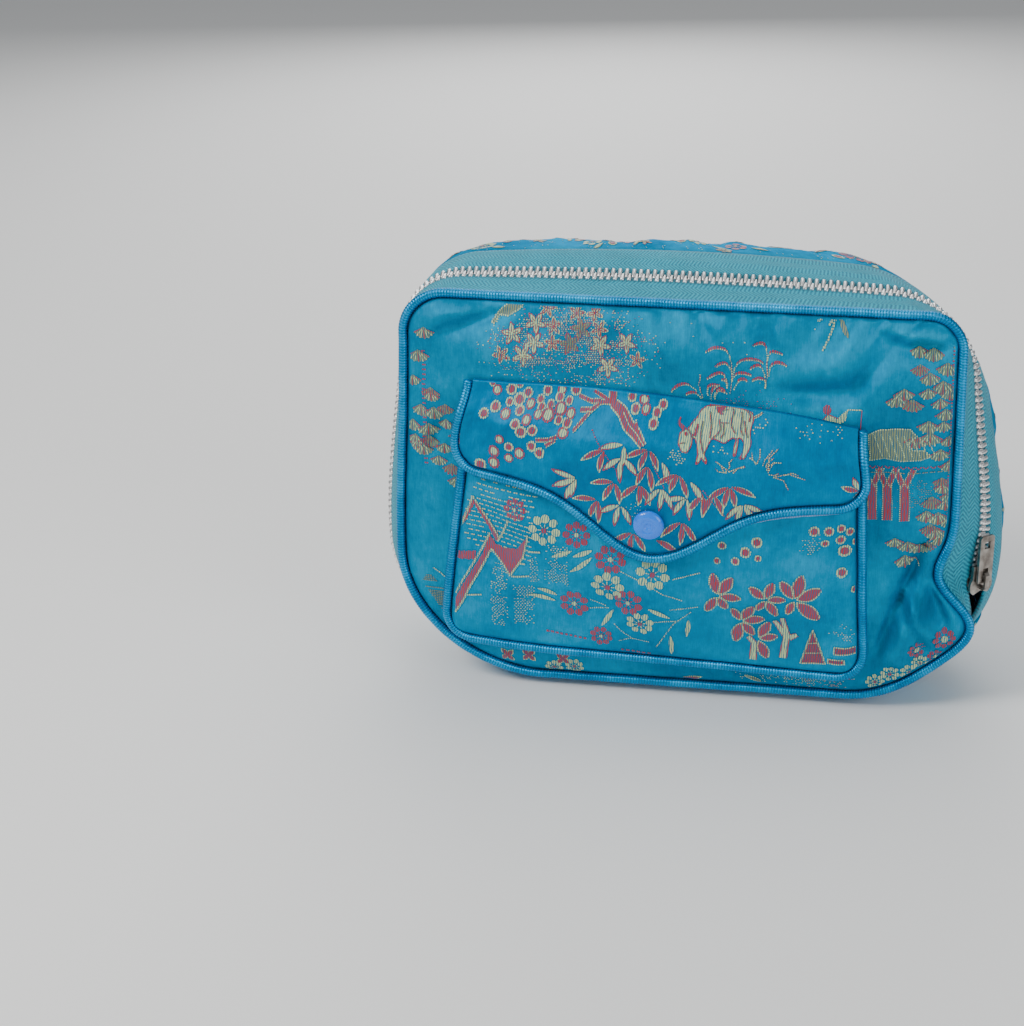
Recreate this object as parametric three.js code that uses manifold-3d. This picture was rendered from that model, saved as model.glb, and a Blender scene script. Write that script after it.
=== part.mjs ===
// A soft brocade purse that stands on its own base: two bowed panels edged with piping, a gusset with a
// metal zip round its top and sides, and a flapped pocket on the front, closed by a capped snap.
// Millimetres, +Z up. The front panel faces -Y, and the origin is the middle of the flat patch that the
// purse stands on.
import * as THREE from "three";
import { mergeVertices } from "three/addons/utils/BufferGeometryUtils.js";
import Module from "manifold-3d";

const wasm = await Module();
wasm.setup();

// The gap that neighbouring pieces keep
const clearance = 0.3;

// How far a flat facet may lie from the curve that it stands for
const facetSlack = 0.4;

// Panels and gusset
const panelWidth = 191;
const panelHeight = 143.4;
const seamDepth = 58;
const seamLift = 4.4;
const backSeamDrop = 2;
const panelWall = 2;
const gussetWall = 1.8;
const frontCrown = 9;
const backCrown = 5;
const topBulge = 11.5;
const topBulgeSkew = 1.25;
const topBulgeFall = 0.5;
const sideBulge = 16;
const baseSag = 7;
const frontCorners = { bottomRight: 37, topRight: 12, topLeft: 15, bottomLeft: 46 };
const rearCorners = { bottomRight: 42, topRight: 72, topLeft: 30, bottomLeft: 46 };

// Piping, a cord wrapped in satin
const pipingRadius = 1.6;
const pipingSides = 6;

// Zip, its slider and its pull tab
const tapeShown = 8;
const rearTapeShown = 11;
const tapeWall = 1;
const chainWidth = 5.8;
const chainThickness = 2.4;
const toothPitch = 2.4;
const toothOverlap = 0.9;
const zipRightShare = 0.225;
const zipLeftShare = 0.9;
const chainLeftShare = 0.89375;
const stripShare = 0.00075;
const sliderHeight = 47.5;
const sliderLength = 11;
const sliderWidth = 10.2;
const sliderNoseWidth = 6.4;
const sliderPlate = 1.1;
const sliderFlange = 1;
const flangeDrop = 0.2;
const sliderTailWidth = chainWidth + 2 * (clearance + sliderFlange);
const sliderPostWidth = 2.2;
const sliderPostLength = 2.6;
const bridgeWidth = 1.8;
const bridgeWall = 0.9;
const bridgeHeadroom = 2;
const bridgeReach = 3.4;
const tabLength = 17;
const tabWidth = 6.4;
const tabThickness = 1.1;
const tabSlotLength = 4.8;
const tabHoleSize = 2.6;
const tabHoleInset = 2.2;
const tabLean = THREE.MathUtils.degToRad(3);

// Front pocket and its flap, laid out from the top left corner of the flap
const pocketTurn = THREE.MathUtils.degToRad(4.4);
const pocketLeft = -76.3;
const pocketTop = 120.3;
const pocketWall = 1.6;
const pocketCrown = 5.5;
const pocketMouth = 12;
const pocketDropLeft = 102.6;
const pocketDropRight = 96.6;
const pocketCornerRadius = 9;
const pocketInsetTop = 4.6;
const pocketInsetBottom = -3;
const pocketWidth = 137;
const pocketFlare = 18.5;
const flapWall = 1.8;
const flapWidth = 145.5;
const flapDropLeft = 33.5;
const flapDropRight = 28.5;
const flapTipDrop = 53.5;
const flapTipPlace = 73.5;
const flapTipSpread = 26;
const flapCornerRadius = 7;
const flapTopInset = 3.4;
const flapTopArch = 3.4;
const flapShoulder = 22;

// Snap
const snapRadius = 5.35;
const snapHeight = 2.3;
const snapAlong = 72.5;
const snapDown = 38.4;

// Swells of the front seam: side of the purse, height, spread up and down, how far it goes out, and how
// deep it reaches into the gusset. The lengths are shares of the panel's height, for out of its half
// width, and for deep of the depth.
const seamSwells = [
  { side: 1, height: 0.33, spread: 0.085, out: -0.07, deep: 0.36 },
  { side: 1, height: 0.2, spread: 0.11, out: 0.09, deep: 0.16 },
  { side: -1, height: 0.3, spread: 0.4, out: 0.055, deep: 0.4 },
];

// Folds of the front panel: centre, half length and half width as shares of the panel's half width and
// half height, turn in degrees from level, and how far it stands proud as a share of the crown. A valley's
// rise is negative.
const frontFolds = [
  { x: -0.83, z: 0.8, length: 0.2, width: 0.09, turn: 36, rise: -0.26 },
  { x: -0.72, z: 0.58, length: 0.22, width: 0.11, turn: 20, rise: 0.16 },
  { x: 0.46, z: 0.64, length: 0.22, width: 0.1, turn: -12, rise: -0.34 },
  { x: 0.72, z: 0.62, length: 0.2, width: 0.08, turn: 48, rise: 0.24 },
  { x: 0.78, z: 0.8, length: 0.2, width: 0.08, turn: 18, rise: -0.3 },
  { x: 0.79, z: -0.4, length: 0.3, width: 0.07, turn: 72, rise: -0.38 },
  { x: 0.86, z: -0.55, length: 0.22, width: 0.06, turn: 104, rise: 0.3 },
  { x: 0.93, z: -0.42, length: 0.2, width: 0.05, turn: 112, rise: -0.3 },
  { x: 0.12, z: -0.9, length: 0.5, width: 0.08, turn: -3, rise: -0.16 },
];

// How finely the walls are faceted
const stepsOfLeg = [8, 8, 12, 5, 8, 5, 8, 8];
const frontRings = [0, 0.22, 0.42, 0.58, 0.72, 0.84, 0.93, 1];
const backRings = [0, 0.4, 0.7, 0.9, 1];
const liningRings = [0, 0.5, 0.86, 1];

const halfWidth = panelWidth / 2;
const pocketBottomWidth = pocketWidth + pocketFlare;
const seamBottom = seamLift;
const seamTop = seamLift + panelHeight;
const middleZ = seamLift + panelHeight / 2;
const frontSeamY = -seamDepth / 2;
const backSeamY = seamDepth / 2;
const pipingReach = pipingRadius + clearance;
const ringLegs = stepsOfLeg.length;
const zipRightPlace = ringLegs * zipRightShare;
const zipLeftPlace = ringLegs * zipLeftShare;
const zipY = frontSeamY + pipingReach + tapeShown + clearance + chainWidth / 2;
const chainMargin = chainWidth / 2 + clearance;
const rearTapeEnd = zipY + chainMargin + rearTapeShown;

const satin = new THREE.MeshStandardMaterial({ color: 0x0d9ac0, roughness: 0.45, metalness: 0 });
const cordSatin = new THREE.MeshStandardMaterial({ color: 0x0a93d6, roughness: 0.4, metalness: 0 });
const tapeWeave = new THREE.MeshStandardMaterial({ color: 0x63bfc4, roughness: 0.8, metalness: 0 });
const zipMetal = new THREE.MeshStandardMaterial({ color: 0xd9dcdc, roughness: 0.3, metalness: 1 });
const pullMetal = new THREE.MeshStandardMaterial({ color: 0xb9b1aa, roughness: 0.38, metalness: 1 });
const capPlastic = new THREE.MeshStandardMaterial({ color: 0x4a9bf0, roughness: 0.25, metalness: 0 });

const smooth = (low, high, value) => THREE.MathUtils.smoothstep(value, low, high);
const bell = (value) => Math.exp(-value * value);

// Points round the rounded rectangle of a seam. The place runs from 0 to 8: bottom, bottom right corner,
// right side, top right corner, top, top left corner, left side, bottom left corner. Gives the point and
// its outward direction.
function outlinePoint(corners, place) {
  const wrapped = ((place % ringLegs) + ringLegs) % ringLegs;
  const leg = Math.floor(wrapped);
  const share = wrapped - leg;
  const { bottomRight, topRight, topLeft, bottomLeft } = corners;
  const side = (x0, z0, x1, z1, nx, nz) => ({
    x: THREE.MathUtils.lerp(x0, x1, share),
    z: THREE.MathUtils.lerp(z0, z1, share),
    nx,
    nz,
  });
  const corner = (x, z, radius, from) => {
    const angle = ((from + share) * Math.PI) / 2;
    const [nx, nz] = [Math.cos(angle), Math.sin(angle)];
    return { x: x + radius * nx, z: z + radius * nz, nx, nz };
  };
  switch (leg) {
    case 0:
      return side(bottomLeft - halfWidth, seamBottom, halfWidth - bottomRight, seamBottom, 0, -1);
    case 1:
      return corner(halfWidth - bottomRight, seamBottom + bottomRight, bottomRight, -1);
    case 2:
      return side(halfWidth, seamBottom + bottomRight, halfWidth, seamTop - topRight, 1, 0);
    case 3:
      return corner(halfWidth - topRight, seamTop - topRight, topRight, 0);
    case 4:
      return side(halfWidth - topRight, seamTop, topLeft - halfWidth, seamTop, 0, 1);
    case 5:
      return corner(topLeft - halfWidth, seamTop - topLeft, topLeft, 1);
    case 6:
      return side(-halfWidth, seamTop - topLeft, -halfWidth, seamBottom + bottomLeft, -1, 0);
    default:
      return corner(bottomLeft - halfWidth, seamBottom + bottomLeft, bottomLeft, 2);
  }
}

// How far the swells push the ring sideways at a height, at a share of the depth
function swell(x, z, share) {
  const rows = seamSwells.filter((row) => row.side * x > 0);
  const out = rows.map((row) => {
    const away = (z - seamBottom - row.height * panelHeight) / (row.spread * panelHeight);
    return row.side * row.out * halfWidth * bell(away) * (1 - smooth(0, row.deep, share));
  });
  return out.reduce((sum, value) => sum + value, 0);
}

// A point of the ring that joins the two seams, at a depth y. The swells of the front seam fade out behind
// it.
function ringPoint(place, y) {
  const share = (y - frontSeamY) / seamDepth;
  const front = outlinePoint(frontCorners, place);
  const rear = outlinePoint(rearCorners, place);
  rear.z -= backSeamDrop * Math.max(0, (rear.z - middleZ) / (panelHeight / 2));
  const mix = (key) => THREE.MathUtils.lerp(front[key], rear[key], share);
  const length = Math.hypot(mix("nx"), mix("nz"));
  const x = mix("x");
  const z = mix("z");
  return {
    x: x + swell(x, z, share) * Math.abs(front.nx),
    z,
    nx: mix("nx") / length,
    nz: mix("nz") / length,
  };
}

// How far the gusset bulges at a share of its depth: most low on the sides, most in the middle of the top,
// where its crest lies behind the middle of the depth, and down to the floor below
function gussetBulge(ring, share) {
  const height = (ring.z - seamBottom) / panelHeight;
  const arch = Math.sin(Math.PI * share);
  const fullness = 0.6 + 0.4 * smooth(0, 0.35, height) - 0.7 * smooth(0.35, 1, height);
  const side = sideBulge * fullness * arch;
  const crestHeight = topBulge * (1 - topBulgeFall * (ring.x / halfWidth) ** 2);
  const crest = crestHeight * Math.sin(Math.PI * share ** topBulgeSkew);
  return ring.nx ** 2 * side + ring.nz ** 2 * (ring.nz > 0 ? crest : baseSag * arch);
}

// A point of the gusset, lift millimetres outside its outer face. The base is flat where it meets the
// floor.
function gussetPoint(place, y, lift = 0) {
  const ring = ringPoint(place, y);
  const out = gussetBulge(ring, (y - frontSeamY) / seamDepth) + lift;
  return new THREE.Vector3(ring.x + ring.nx * out, y, Math.max(ring.z + ring.nz * out, -lift));
}

// Places along the ring between two ends, with the ends of each side and corner among them
function placesBetween(from, to) {
  const places = [from];
  for (let leg = Math.floor(from); leg < to; leg += 1) {
    const steps = stepsOfLeg[((leg % ringLegs) + ringLegs) % ringLegs];
    for (let i = 0; i < steps; i += 1) {
      const place = leg + i / steps;
      if (place > from + 0.02 && place < to - 0.02) places.push(place);
    }
  }
  places.push(to);
  return places;
}

// The inset edge of a panel, and how far that edge is from the panel's middle in each direction
function panelEdge(place, y) {
  const ring = ringPoint(place, y);
  return { x: ring.x - ring.nx * pipingReach, z: ring.z - ring.nz * pipingReach };
}

function edgeReaches(y) {
  const samples = 240;
  const reaches = Array.from({ length: samples }, (_, i) => {
    const edge = panelEdge((8 * i) / samples, y);
    return { angle: Math.atan2(edge.z - middleZ, edge.x), reach: Math.hypot(edge.x, edge.z - middleZ) };
  });
  return reaches.sort((a, b) => a.angle - b.angle);
}

const frontReaches = edgeReaches(frontSeamY);
const backReaches = edgeReaches(backSeamY);

// 0 at the panel's middle and 1 at its edge
function panelShare(reaches, x, z) {
  const angle = Math.atan2(z - middleZ, x);
  const above = reaches.findIndex((row) => row.angle > angle);
  const next = reaches[above < 0 ? 0 : above];
  const last = reaches[above <= 0 ? reaches.length - 1 : above - 1];
  const turn = 2 * Math.PI;
  const span = (next.angle - last.angle + turn) % turn;
  const part = ((angle - last.angle + turn) % turn) / span;
  return Math.hypot(x, z - middleZ) / THREE.MathUtils.lerp(last.reach, next.reach, part);
}

// How far a fold lifts the panel
function foldRise(row, x, z) {
  const turn = THREE.MathUtils.degToRad(row.turn);
  const dx = x - row.x * halfWidth;
  const dz = z - middleZ - (row.z * panelHeight) / 2;
  const along = dx * Math.cos(turn) + dz * Math.sin(turn);
  const across = dz * Math.cos(turn) - dx * Math.sin(turn);
  const size = halfWidth;
  return row.rise * frontCrown * bell(along / (row.length * size)) * bell(across / (row.width * size));
}

// Depth of the front panel's outer face. It bows most in its lower half, where the filling sags.
function frontFace(x, z) {
  const share = Math.min(1, panelShare(frontReaches, x, z));
  const low = 1 - smooth(seamBottom, middleZ + panelHeight * 0.3, z);
  const crown = frontCrown * (1 - share ** (2.4 + 1.2 * low));
  const folds = frontFolds.reduce((sum, row) => sum + foldRise(row, x, z), 0);
  return frontSeamY - panelWall / 2 - crown - folds * (1 - share ** 8);
}

function backFace(x, z) {
  const share = Math.min(1, panelShare(backReaches, x, z));
  return backSeamY + panelWall / 2 + backCrown * (1 - share ** 2.6);
}

// Positions of the pocket's own plan: along the flap's top edge, then down it
function pocketPlan(along, down) {
  const [cos, sin] = [Math.cos(pocketTurn), Math.sin(pocketTurn)];
  return { x: pocketLeft + along * cos - down * sin, z: pocketTop - along * sin - down * cos };
}

const pocketEdgeStand = clearance + pipingRadius + pocketWall / 2;
const flapBodyInset = 2 * pipingRadius + clearance;

// The flap clears the pocket by as much as its piping needs to lie on the pocket's piping
const flapEdgeStand = 3 * clearance + 3 * pipingRadius + flapWall / 2;
const flapLift = flapEdgeStand - pocketEdgeStand;

// A place in the pocket's plan from shares of its width and height, inside its piping by an inset. Its
// sides lean outwards and its bottom falls to the left.
function pocketSpot(across, fall, inset) {
  const down = THREE.MathUtils.lerp(
    pocketMouth,
    THREE.MathUtils.lerp(pocketDropLeft, pocketDropRight, across) - inset,
    fall,
  );
  const share = down / pocketDropLeft;
  const left = THREE.MathUtils.lerp(pocketInsetTop, pocketInsetBottom, share) + inset;
  const width = pocketWidth + pocketFlare * share - 2 * inset;
  return { along: left + width * across, down };
}

// How far the pocket's outer face stands off the front panel
function pocketStand(along, down) {
  const share = down / pocketDropLeft;
  const left = THREE.MathUtils.lerp(pocketInsetTop, pocketInsetBottom, share) + flapBodyInset;
  const width = pocketWidth + pocketFlare * share - 2 * flapBodyInset;
  const across = THREE.MathUtils.clamp((along - left) / width, 0, 1);
  const bottom = THREE.MathUtils.lerp(pocketDropLeft, pocketDropRight, across) - flapBodyInset;
  const fall = THREE.MathUtils.clamp((down - pocketMouth) / (bottom - pocketMouth), 0, 1);
  return pocketEdgeStand + pocketCrown * (1 - Math.abs(2 * across - 1) ** 3) * (1 - fall ** 3);
}

// How far the flap's outer face stands off the panel: sewn down along its top, then over the pocket
function flapStand(along, down) {
  const sewn = clearance + flapWall;
  const over = pocketStand(along, down) + flapLift;
  return THREE.MathUtils.lerp(sewn, over, smooth(flapTop(along), pocketMouth, down));
}

// The flap's sewn top edge rises in its middle
function flapTop(along) {
  return -flapTopArch * (1 - ((2 * along) / flapWidth - 1) ** 2);
}

// A point that stands off the front panel at a place in the pocket's plan
function onPocket(along, down, stand) {
  const { x, z } = pocketPlan(along, down);
  return new THREE.Vector3(x, frontFace(x, z) - facetSlack - stand, z);
}

// The flap's lower edge: level at the sides, rounded corners, and a bell that ends at the snap
function flapEdge(along) {
  const spread = (along - flapTipPlace) / flapTipSpread;
  const inner = Math.min(along, flapWidth - along) - flapBodyInset;
  const turned = Math.max(0, flapCornerRadius - inner);
  const corner = flapCornerRadius - Math.sqrt(Math.max(0, flapCornerRadius ** 2 - turned ** 2));
  const side = THREE.MathUtils.lerp(flapDropLeft, flapDropRight, along / flapWidth);
  const middle = THREE.MathUtils.lerp(flapDropLeft, flapDropRight, flapTipPlace / flapWidth);
  return side + (flapTipDrop - middle) * bell(spread) - corner - flapBodyInset;
}

// A closed surface from points and triangles, turned to face outwards
function closedMesh(name, points, faces, material) {
  const positions = new Float32Array(points.flatMap((p) => [p.x, p.y, p.z]));
  let volume = 0;
  for (const [a, b, c] of faces) {
    volume += points[a].dot(new THREE.Vector3().crossVectors(points[b], points[c]));
  }
  const facing = volume < 0 ? faces.map(([a, b, c]) => [a, c, b]) : faces;
  const geometry = new THREE.BufferGeometry();
  geometry.setAttribute("position", new THREE.BufferAttribute(positions, 3));
  geometry.setIndex(facing.flat());
  geometry.computeVertexNormals();
  const mesh = new THREE.Mesh(geometry, material);
  mesh.name = name;
  return mesh;
}

// A wall of cloth from two grids of points, its outer and its inner face, joined along their four edges
function clothWall(name, outer, inner, material) {
  const rows = outer.length;
  const columns = outer[0].length;
  const points = [...outer.flat(), ...inner.flat()];
  const at = (i, j, face) => face * rows * columns + i * columns + j;
  const faces = [];
  const quad = (a, b, c, d) => faces.push([a, b, c], [a, c, d]);
  for (let i = 0; i < rows - 1; i += 1) {
    for (let j = 0; j < columns - 1; j += 1) {
      quad(at(i, j, 0), at(i, j + 1, 0), at(i + 1, j + 1, 0), at(i + 1, j, 0));
      quad(at(i, j, 1), at(i + 1, j, 1), at(i + 1, j + 1, 1), at(i, j + 1, 1));
    }
  }
  for (let i = 0; i < rows - 1; i += 1) {
    quad(at(i, 0, 0), at(i + 1, 0, 0), at(i + 1, 0, 1), at(i, 0, 1));
    quad(at(i, columns - 1, 0), at(i, columns - 1, 1), at(i + 1, columns - 1, 1), at(i + 1, columns - 1, 0));
  }
  for (let j = 0; j < columns - 1; j += 1) {
    quad(at(0, j, 0), at(0, j, 1), at(0, j + 1, 1), at(0, j + 1, 0));
    quad(at(rows - 1, j, 0), at(rows - 1, j + 1, 0), at(rows - 1, j + 1, 1), at(rows - 1, j, 1));
  }
  return closedMesh(name, points, faces, material);
}

// A bowed panel: rings from its middle to its edge on each face, the lining's with fewer rings
function panelWallMesh(name, outerRings, seamY, faceAt, inward, material) {
  const edges = placesBetween(0, ringLegs).slice(0, -1);
  const around = edges.length;
  const points = [];
  const faces = [];
  const addFace = (rings, offset) => {
    const start = points.length;
    points.push(new THREE.Vector3(0, faceAt(0, middleZ) + offset, middleZ));
    for (const ring of rings.slice(1)) {
      for (const place of edges) {
        const edge = panelEdge(place, seamY);
        const x = edge.x * ring;
        const z = middleZ + (edge.z - middleZ) * ring;
        points.push(new THREE.Vector3(x, faceAt(x, z) + offset, z));
      }
    }
    const at = (k, i) => start + 1 + (k - 1) * around + (i % around);
    for (let i = 0; i < around; i += 1) {
      faces.push([start, at(1, i), at(1, i + 1)]);
      for (let k = 1; k < rings.length - 1; k += 1) {
        faces.push([at(k, i), at(k + 1, i), at(k + 1, i + 1)]);
        faces.push([at(k, i), at(k + 1, i + 1), at(k, i + 1)]);
      }
    }
    return (i) => at(rings.length - 1, i);
  };
  const outerEdge = addFace(outerRings, 0);
  const outerFaces = faces.length;
  const innerEdge = addFace(liningRings, inward * panelWall);
  for (let k = outerFaces; k < faces.length; k += 1) faces[k].reverse();
  for (let i = 0; i < around; i += 1) {
    const [a, b, c, d] = [outerEdge(i), innerEdge(i), innerEdge(i + 1), outerEdge(i + 1)];
    faces.push([a, b, c], [a, c, d]);
  }
  return closedMesh(name, points, faces, material);
}

// A bar swept through frames. Each frame has its own section, a list of [side, up] offsets.
function sweep(name, frames, closed, material) {
  const sides = frames[0].section.length;
  const points = frames.flatMap((frame) =>
    frame.section.map(([side, up]) =>
      frame.centre.clone().addScaledVector(frame.side, side).addScaledVector(frame.up, up),
    ),
  );
  const at = (i, j) => (i % frames.length) * sides + (j % sides);
  const faces = [];
  const spans = closed ? frames.length : frames.length - 1;
  for (let i = 0; i < spans; i += 1) {
    for (let j = 0; j < sides; j += 1) {
      faces.push([at(i, j), at(i + 1, j), at(i + 1, j + 1)]);
      faces.push([at(i, j), at(i + 1, j + 1), at(i, j + 1)]);
    }
  }
  if (!closed) {
    for (let j = 1; j < sides - 1; j += 1) {
      faces.push([at(0, 0), at(0, j), at(0, j + 1)]);
      faces.push([at(spans, 0), at(spans, j + 1), at(spans, j)]);
    }
  }
  return closedMesh(name, points, faces, material);
}

const pipingSection = Array.from({ length: pipingSides }, (_, i) => {
  const angle = (2 * Math.PI * i) / pipingSides;
  return [pipingRadius * Math.cos(angle), pipingRadius * Math.sin(angle)];
});

// Piping round a panel's seam
function seamPiping(name, seamY) {
  const frames = placesBetween(0, ringLegs)
    .slice(0, -1)
    .map((place) => {
      const ring = ringPoint(place, seamY);
      return {
        centre: new THREE.Vector3(ring.x, seamY, ring.z),
        side: new THREE.Vector3(ring.nx, 0, ring.nz),
        up: new THREE.Vector3(0, 1, 0),
        section: pipingSection,
      };
    });
  return sweep(name, frames, true, cordSatin);
}

// Piping along an open line of points on the pocket, upright against the purse
function linePiping(name, line) {
  const frames = line.map((centre, i) => {
    const before = line[Math.max(0, i - 1)];
    const after = line[Math.min(line.length - 1, i + 1)];
    const along = after.clone().sub(before).normalize();
    const side = new THREE.Vector3(0, 1, 0).cross(along).normalize();
    return { centre, side, up: along.clone().cross(side), section: pipingSection };
  });
  return sweep(name, frames, false, cordSatin);
}

// A strip of the gusset between two ends of the ring and between two depths, which may follow the place
function gussetStrip(name, from, to, nearY, farY, spans, wall, material) {
  const face = (lift) =>
    placesBetween(from, to).map((place) =>
      Array.from({ length: spans + 1 }, (_, j) => {
        const y = THREE.MathUtils.lerp(nearY(place), farY(place), j / spans);
        return gussetPoint(place, y, lift);
      }),
    );
  return clothWall(name, face(0), face(-wall), material);
}

const rightSideLength = panelHeight - frontCorners.bottomRight - frontCorners.topRight;
const sliderPlace = 2 + (sliderHeight - seamBottom - frontCorners.bottomRight) / rightSideLength;

// The zip's own frame at a place of the ring: along it, across it, and straight out of it
function zipFrame(place, back = 0.004, ahead = 0.004) {
  const centre = gussetPoint(place, zipY);
  const along = gussetPoint(place + ahead, zipY).sub(gussetPoint(place - back, zipY)).normalize();
  const across = gussetPoint(place, zipY + 0.5).sub(gussetPoint(place, zipY - 0.5)).normalize();
  const out = new THREE.Vector3().crossVectors(across, along).normalize();
  return { centre, along, across: new THREE.Vector3().crossVectors(along, out), out };
}

// The slit that stays open below the slider: the tapes' inner edges run together there
function tapeMargin(place) {
  const nose = sliderPlace - (0.62 * sliderLength) / rightSideLength;
  return THREE.MathUtils.lerp(clearance, chainMargin, smooth(zipRightPlace, nose, place));
}

// The chain: one bar whose teeth reach to alternate sides, half a pitch apart
function zipChain() {
  const samples = 900;
  const start = sliderPlace - 0.012;
  const end = ringLegs * chainLeftShare;
  const places = Array.from({ length: samples + 1 }, (_, i) => start + ((end - start) * i) / samples);
  const lengths = [0];
  for (let i = 1; i <= samples; i += 1) {
    lengths.push(lengths[i - 1] + gussetPoint(places[i], zipY).distanceTo(gussetPoint(places[i - 1], zipY)));
  }
  const teeth = Math.round(lengths[samples] / (toothPitch / 2));
  const frames = Array.from({ length: teeth + 1 }, (_, k) => {
    const target = (lengths[samples] * k) / teeth;
    const above = Math.max(1, lengths.findIndex((length) => length >= target - 1e-6));
    const part = (target - lengths[above - 1]) / (lengths[above] - lengths[above - 1]);
    const frame = zipFrame(THREE.MathUtils.lerp(places[above - 1], places[above], part));
    const reach = k % 2 ? [-chainWidth / 2, toothOverlap] : [-toothOverlap, chainWidth / 2];
    const [low, high] = [-(tapeWall + chainThickness) / 2, (chainThickness - tapeWall) / 2];
    const section = [
      [reach[0], low],
      [reach[1], low],
      [reach[1], high],
      [reach[0], high],
    ];
    return { centre: frame.centre, side: frame.across, up: frame.out, section };
  });
  return sweep("zip_chain", frames, false, zipMetal);
}

// A three.js geometry as a solid that can be joined and cut, and back
function solidOf(geometry) {
  const bare = geometry.clone();
  bare.deleteAttribute("normal");
  bare.deleteAttribute("uv");
  const merged = mergeVertices(bare, 1e-4);
  const triVerts = new Uint32Array(merged.index.array);
  const vertProperties = merged.attributes.position.array;
  return new wasm.Manifold(new wasm.Mesh({ numProp: 3, vertProperties, triVerts }));
}

function meshOf(name, solid, material, frame) {
  const { vertProperties, triVerts } = solid.getMesh();
  const geometry = new THREE.BufferGeometry();
  geometry.setAttribute("position", new THREE.BufferAttribute(new Float32Array(vertProperties), 3));
  geometry.setIndex([...triVerts]);
  geometry.computeVertexNormals();
  const mesh = new THREE.Mesh(geometry, material);
  mesh.name = name;
  mesh.matrixAutoUpdate = false;
  mesh.matrix.copy(frame);
  return mesh;
}

// A plate of a shape drawn across and along the zip, between two heights out of it
function plate(shape, low, high) {
  const settings = { depth: high - low, bevelEnabled: false, curveSegments: 4 };
  const geometry = new THREE.ExtrudeGeometry(shape, settings);
  return solidOf(geometry.translate(0, 0, low));
}

function boxSolid(width, length, low, high, x, y) {
  return solidOf(new THREE.BoxGeometry(width, length, high - low).translate(x, y, (low + high) / 2));
}

const chainTop = (chainThickness - tapeWall) / 2;
const chainBottom = -(tapeWall + chainThickness) / 2;
const plateLow = chainTop + clearance;
const flangeLow = plateLow - flangeDrop;
const plateTop = plateLow + sliderPlate;
const hingeHeight = plateTop + bridgeHeadroom / 2;

// The slider: an upper and a lower wing joined by a post at the nose, flanges beside the chain, and the
// bridge
function slider(frame) {
  const half = sliderLength / 2;
  const wing = new THREE.Shape();
  wing.moveTo(-sliderTailWidth / 2, half);
  wing.lineTo(sliderTailWidth / 2, half);
  wing.lineTo(sliderTailWidth / 2, 0.1 * half);
  wing.quadraticCurveTo(sliderWidth / 2, -0.1 * half, sliderWidth / 2, -0.45 * half);
  wing.quadraticCurveTo(sliderWidth / 2, -0.8 * half, sliderNoseWidth / 2, -half);
  wing.lineTo(0, -0.78 * half);
  wing.lineTo(-sliderNoseWidth / 2, -half);
  wing.quadraticCurveTo(-sliderWidth / 2, -0.8 * half, -sliderWidth / 2, -0.45 * half);
  wing.quadraticCurveTo(-sliderWidth / 2, -0.1 * half, -sliderTailWidth / 2, 0.1 * half);
  wing.closePath();
  const upper = plate(wing, plateLow, plateTop);
  const lower = plate(wing, chainBottom - clearance - sliderPlate, chainBottom - clearance);
  const post = boxSolid(
    sliderPostWidth,
    sliderPostLength,
    chainBottom - clearance - sliderPlate / 2,
    plateLow + sliderPlate / 2,
    0,
    -0.78 * half + sliderPostLength / 2,
  );
  const flangeCentre = (sliderTailWidth - sliderFlange) / 2;
  const flange = (sign) =>
    boxSolid(sliderFlange, 0.9 * half, flangeLow, plateLow + sliderPlate / 2, sign * flangeCentre, 0.55 * half);
  const arch = new THREE.Shape();
  const crown = plateTop + bridgeHeadroom + bridgeWall;
  const foot = plateTop - sliderPlate / 2;
  arch.moveTo(-bridgeReach, foot);
  arch.lineTo(-bridgeReach, crown - bridgeWall);
  arch.lineTo(-bridgeReach + bridgeWall, crown);
  arch.lineTo(bridgeReach - bridgeWall, crown);
  arch.lineTo(bridgeReach, crown - bridgeWall);
  arch.lineTo(bridgeReach, foot);
  arch.lineTo(bridgeReach - bridgeWall, foot);
  arch.lineTo(bridgeReach - bridgeWall, plateTop + bridgeHeadroom);
  arch.lineTo(bridgeWall - bridgeReach, plateTop + bridgeHeadroom);
  arch.lineTo(bridgeWall - bridgeReach, foot);
  arch.closePath();
  const bridgeGeometry = new THREE.ExtrudeGeometry(arch, { depth: bridgeWidth, bevelEnabled: false });
  bridgeGeometry.translate(0, 0, -bridgeWidth / 2);
  bridgeGeometry.applyMatrix4(new THREE.Matrix4().set(0, 0, 1, 0, 1, 0, 0, 0, 0, 1, 0, 0, 0, 0, 0, 1));
  const others = [lower, post, flange(-1), flange(1), solidOf(bridgeGeometry)];
  const made = others.reduce((sum, solid) => sum.add(solid), upper);
  return meshOf("zip_slider", made, pullMetal, frame);
}

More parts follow.
